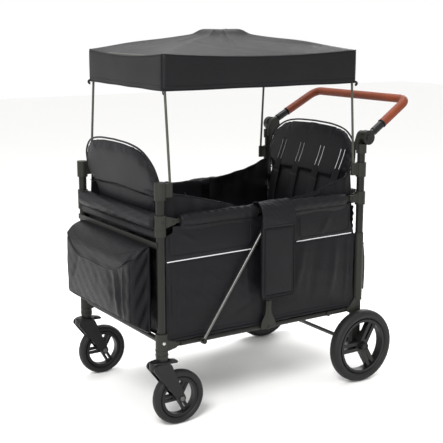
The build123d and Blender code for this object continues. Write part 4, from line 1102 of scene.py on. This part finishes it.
def makeFlap(s):
    # sheet from the hinge line forward over the round top and down the face; its lower edge is level in the
    # middle and rises to both sides
    b = bagLook
    u = np.sin(np.linspace(-1, 1, s["columns"]) * np.pi / 2)[None] ** 1
    half, full = b["half"] + 0.0012, b["reach"] + s["clear"]
    y = half * u
    over = np.clip((np.abs(y) - (half - b["corner"])) / b["corner"], 0, 1)
    reach = full - b["corner"] * (1 - np.sqrt(np.maximum(1 - over ** 2, 0)))
    topZ = b["top"] + 0.0022 - 0.002 * u ** 2
    rise = np.clip((np.abs(y) - 0.120) / 0.130, 0, 1)
    edgeZ = s["middleZ"] + (s["sideZ"] - s["middleZ"]) * rise ** 1.6 + 0.005 * over ** 2 + 0.002 * np.sin(u * 9)
    bend = np.minimum(b["round"], reach * 0.95)
    flatRun, arc = reach - bend, bend * np.pi / 2
    fallRun = np.maximum(topZ - bend - edgeZ, 0.0)
    # columns at the sides stop part of the way round the bend
    stop = np.where(topZ - bend > edgeZ, np.pi / 2, np.arccos(np.clip(1 - (topZ - edgeZ) / bend, -1, 1)))
    d = np.linspace(0, 1, s["rows"])[:, None] * (flatRun + bend * stop + fallRun)
    angle = np.clip((d - flatRun) / bend, 0, stop)
    fall = np.maximum(d - flatRun - bend * stop, 0)
    x = b["backX"] - np.minimum(d, flatRun) - bend * np.sin(angle)
    z = topZ - bend * (1 - np.cos(angle)) - fall - 0.004 * bulge(d, 0, flatRun + arc) * (1 - u ** 2)
    lift = 0.0022 * np.clip(fall / 0.03, 0, 1) * (0.5 + 0.5 * np.sin(u * 11)) + 0.0006 * ripple(y, z, 71, 0.13, 1.0)
    grid = np.stack([np.maximum(x - lift, -0.6378), y + 0 * z, z], -1)
    flap = wear(surface("bagFlap", grid), "tubCloth", "bag_flap", "fabric_black", ["storage_bag_flap"], thick=0.0020)
    wear(carried("flapBinding", grid[-1], 0.0018, 0.0026, ref=(1, 0, 0), sides=8), "padCloth", "bag_flap",
         "fabric_black")
    for share, radius, trim in ((0.60, 0.0010, 10), (0.93, 0.0007, 4)):
        row = int(s["rows"] * share)
        wear(carried(f"flapSeam{row}", grid[row, trim:-trim] + [-0.0010, 0, 0.0004], radius, radius, ref=(1, 0, 1),
                     sides=6), "padCloth", "bag_flap", "fabric_black")


makeFlap(flapLook)
print("storage bag made")

# ---- pouch behind the rear end ----
def makePouch():
    lo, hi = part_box("rear_pouch")
    s = {"around": 240, "walls": 44}
    turn = np.linspace(0, 2 * np.pi, s["around"], endpoint=False)
    cx, deep, half = (lo.x + hi.x) / 2, (hi.x - lo.x) / 2 - 0.001, hi.y - 0.002
    px, py = power(np.cos(turn), 0.4) * deep, power(np.sin(turn), 0.2) * half
    v = np.linspace(0, 1, s["walls"])[:, None]
    rearward = np.clip(px / deep, 0, 1)[None]
    z = lo.z + 0.030 * (1 - rearward) * (1 - v) + (hi.z - lo.z - 0.030 * (1 - rearward) * (1 - v)) * v * 0.985
    pull = 1 - 0.26 * np.clip((v - 0.7) / 0.3, 0, 1) ** 1.5 * rearward
    x = cx + px[None] * pull + 0.004 * bulge(v, 0, 0.8) * rearward * np.sin(py * 21)[None] - 0.002
    y = py[None] * (1 + 0 * v)
    gathers = 0.0018 * np.sin(py * 160)[None] * np.clip((v - 0.75) / 0.25, 0, 1) * rearward
    wall = np.stack([np.minimum(x + gathers, hi.x), y, z], -1)
    share = np.sin(np.linspace(0.02, np.pi / 2, 14))[:, None, None]
    base = wall[0].mean(0) + (wall[0] - wall[0].mean(0))[None] * share
    lid = wall[-1].mean(0) - [0, 0, 0.02] + (wall[-1] - wall[-1].mean(0))[None] * share
    lid[..., 2] = wall[-1, :, 2] - 0.02 * (1 - share[..., 0] ** 6)
    grid = np.concatenate([base, wall[1:-1], lid[::-1]])
    pouch = surface("rearPouch", grid, loopV=True, capFirst=True, capLast=True, closed=True)
    wear(pouch, "tubCloth", "rear_frame", "fabric_black", ["rear_pouch"])
    wear(carried("pouchBinding", wall[-2] + [0, 0, 0.001], 0.0026, 0.0030, sides=8, ring=True), "padCloth",
         "rear_frame", "fabric_black")


makePouch()

# ---- organiser pocket on the left side ----
pocketLook = {"x": midX + 0.020, "half": 0.0725, "low": 0.414, "high": 0.692, "inY": 0.3400, "outY": 0.3600}


def makePocket(s):
    turn = np.linspace(0, 2 * np.pi, 240, endpoint=False)
    up = (s["high"] - s["low"]) / 2
    outline = np.stack([s["half"] * power(np.cos(turn), 0.13), up * power(np.sin(turn), 0.09)], -1)

    def relief(a, b):
        # the sewn border round the front field
        inset = np.maximum(np.abs(a) / (s["half"] - 0.012), np.abs(b) / (up - 0.014))
        return -0.0028 * np.exp(-((inset - 1) / 0.035) ** 2) + 0.0015 * np.clip(1 - inset, 0, 1)

    grid = pillow(outline, s["outY"] - s["inY"], edge=22.0, crown=0.04, rings=34, relief=relief)
    centre = (s["x"], -(s["outY"] + s["inY"]) / 2, (s["high"] + s["low"]) / 2)
    pocket = surface("organiserPocket", set3(grid, centre, (1, 0, 0), (0, 0, 1), (0, -1, 0)), loopV=True,
                     capFirst=True, capLast=True, closed=True)
    wear(pocket, "tubCloth", "centre", "fabric_black", ["side_pocket"])
    for label, shrink, r in (("Outer", 0.0015, 0.0017), ("Field", 0.0135, 0.0012)):
        path = np.stack([s["x"] + outline[:, 0] * (1 - shrink / s["half"]),
                         np.full(len(outline), -s["outY"] + (0.0016 if label == "Outer" else 0.0024)),
                         centre[2] + outline[:, 1] * (1 - shrink / up)], -1)
        wear(carried(f"pocketWelt{label}", path, r, r, ref=(0, 1, 0), sides=6, ring=True), "padCloth", "centre",
             "fabric_black")
    # saddle: a soft band that rises from the pocket, goes over the rail sleeve and down inside
    half = 0.074
    profile = smoothPath([(-0.3615, 0.682), (-0.3625, 0.700), (-0.3585, 0.728), (-0.3450, 0.756), (-0.3220, 0.7715),
                          (-0.3000, 0.7700), (-0.2860, 0.755), (-0.2815, 0.733), (-0.2815, 0.705)], 64)
    v = np.linspace(-1, 1, 60)[None]
    drawIn = 1 - 0.05 * bulge(np.linspace(0, 1, 64), 0.15, 0.85)[:, None]
    x = s["x"] + half * v * drawIn
    soften = 0.0028 * (1 - v ** 8) * np.ones((64, 1))
    soften = soften + 0.0012 * ripple(x, np.linspace(0, 0.2, 64)[:, None], 81, 0.09, 1.0)
    normal = unit(np.stack([-np.gradient(profile[:, 1]), np.gradient(profile[:, 0])], -1))
    y = profile[:, :1] - normal[:, :1] * soften
    z = profile[:, 1:] - normal[:, 1:] * soften
    saddle = surface("pocketSaddle", np.stack([x, y + 0 * x, z + 0 * x], -1))
    wear(saddle, "padCloth", "centre", "fabric_black", thick=0.0045)
    for row, tag in ((3, "Low"), (22, "High")):
        line = np.stack([x[row], (y + 0 * x)[row] - 0.0026, (z + 0 * x)[row]], -1)
        wear(carried(f"saddleSeam{tag}", line, 0.0011, 0.0011, sides=6), "tubCloth", "centre", "fabric_black")


makePocket(pocketLook)

# ---- moulded foot of the centre post ----
footLook = {"half": 0.034, "top": 0.400, "low": 0.290}


def makeCentreFoot(side, label, s):
    # flared plate in the post's layer: width grows towards the hinge, with a raised rib down the middle
    t = np.linspace(0, 1, 30)
    width = 0.0115 + (s["half"] - 0.0115) * (0.5 + 0.5 * np.tanh((t - 0.62) * 6))
    z = s["top"] + (s["low"] - s["top"]) * t
    u = np.linspace(-1, 1, 17)[None]
    x = midX + width[:, None] * u
    outer = side * (0.3270 + 0.0022 * np.exp(-(u / 0.25) ** 2) - 0.0016 * np.abs(u) ** 4 + 0 * z[:, None])
    grid = np.stack([x, outer, z[:, None] + 0 * u], -1)
    foot = wear(surface(f"centreFoot{label}", grid), "moulding", "centre", "frame_plastic", thick=0.0030)
    foot.modifiers["thickness"].offset = 0
    dome(f"centreHingeBolt{label}", (midX, side * 0.3298, 0.297), (0, side, 0), 0.0075, "centre", "framePaint",
         "frame_tube")


for side, label in ((-1, "Left"), (1, "Right")):
    makeCentreFoot(side, label, footLook)
print("pocket and centre fittings made")

# ---- floor ----
u, v = np.linspace(-14, 14, 3)[None], np.linspace(-14, 14, 3)[:, None]
ground = surface("floor", np.stack([u + 0 * v, v + 0 * u, 0 * u * v], -1))
groundPaint = Paint("floorPaint", Roughness=0.75, Specular_IOR_Level=0.2)
groundPaint.feed("Base Color", groundPaint.between(groundPaint.noise(2.0), stageLook["floorColour"],
                                                   tuple(c * 0.99 for c in stageLook["floorColour"])))
ground.data.materials.append(groundPaint.material)
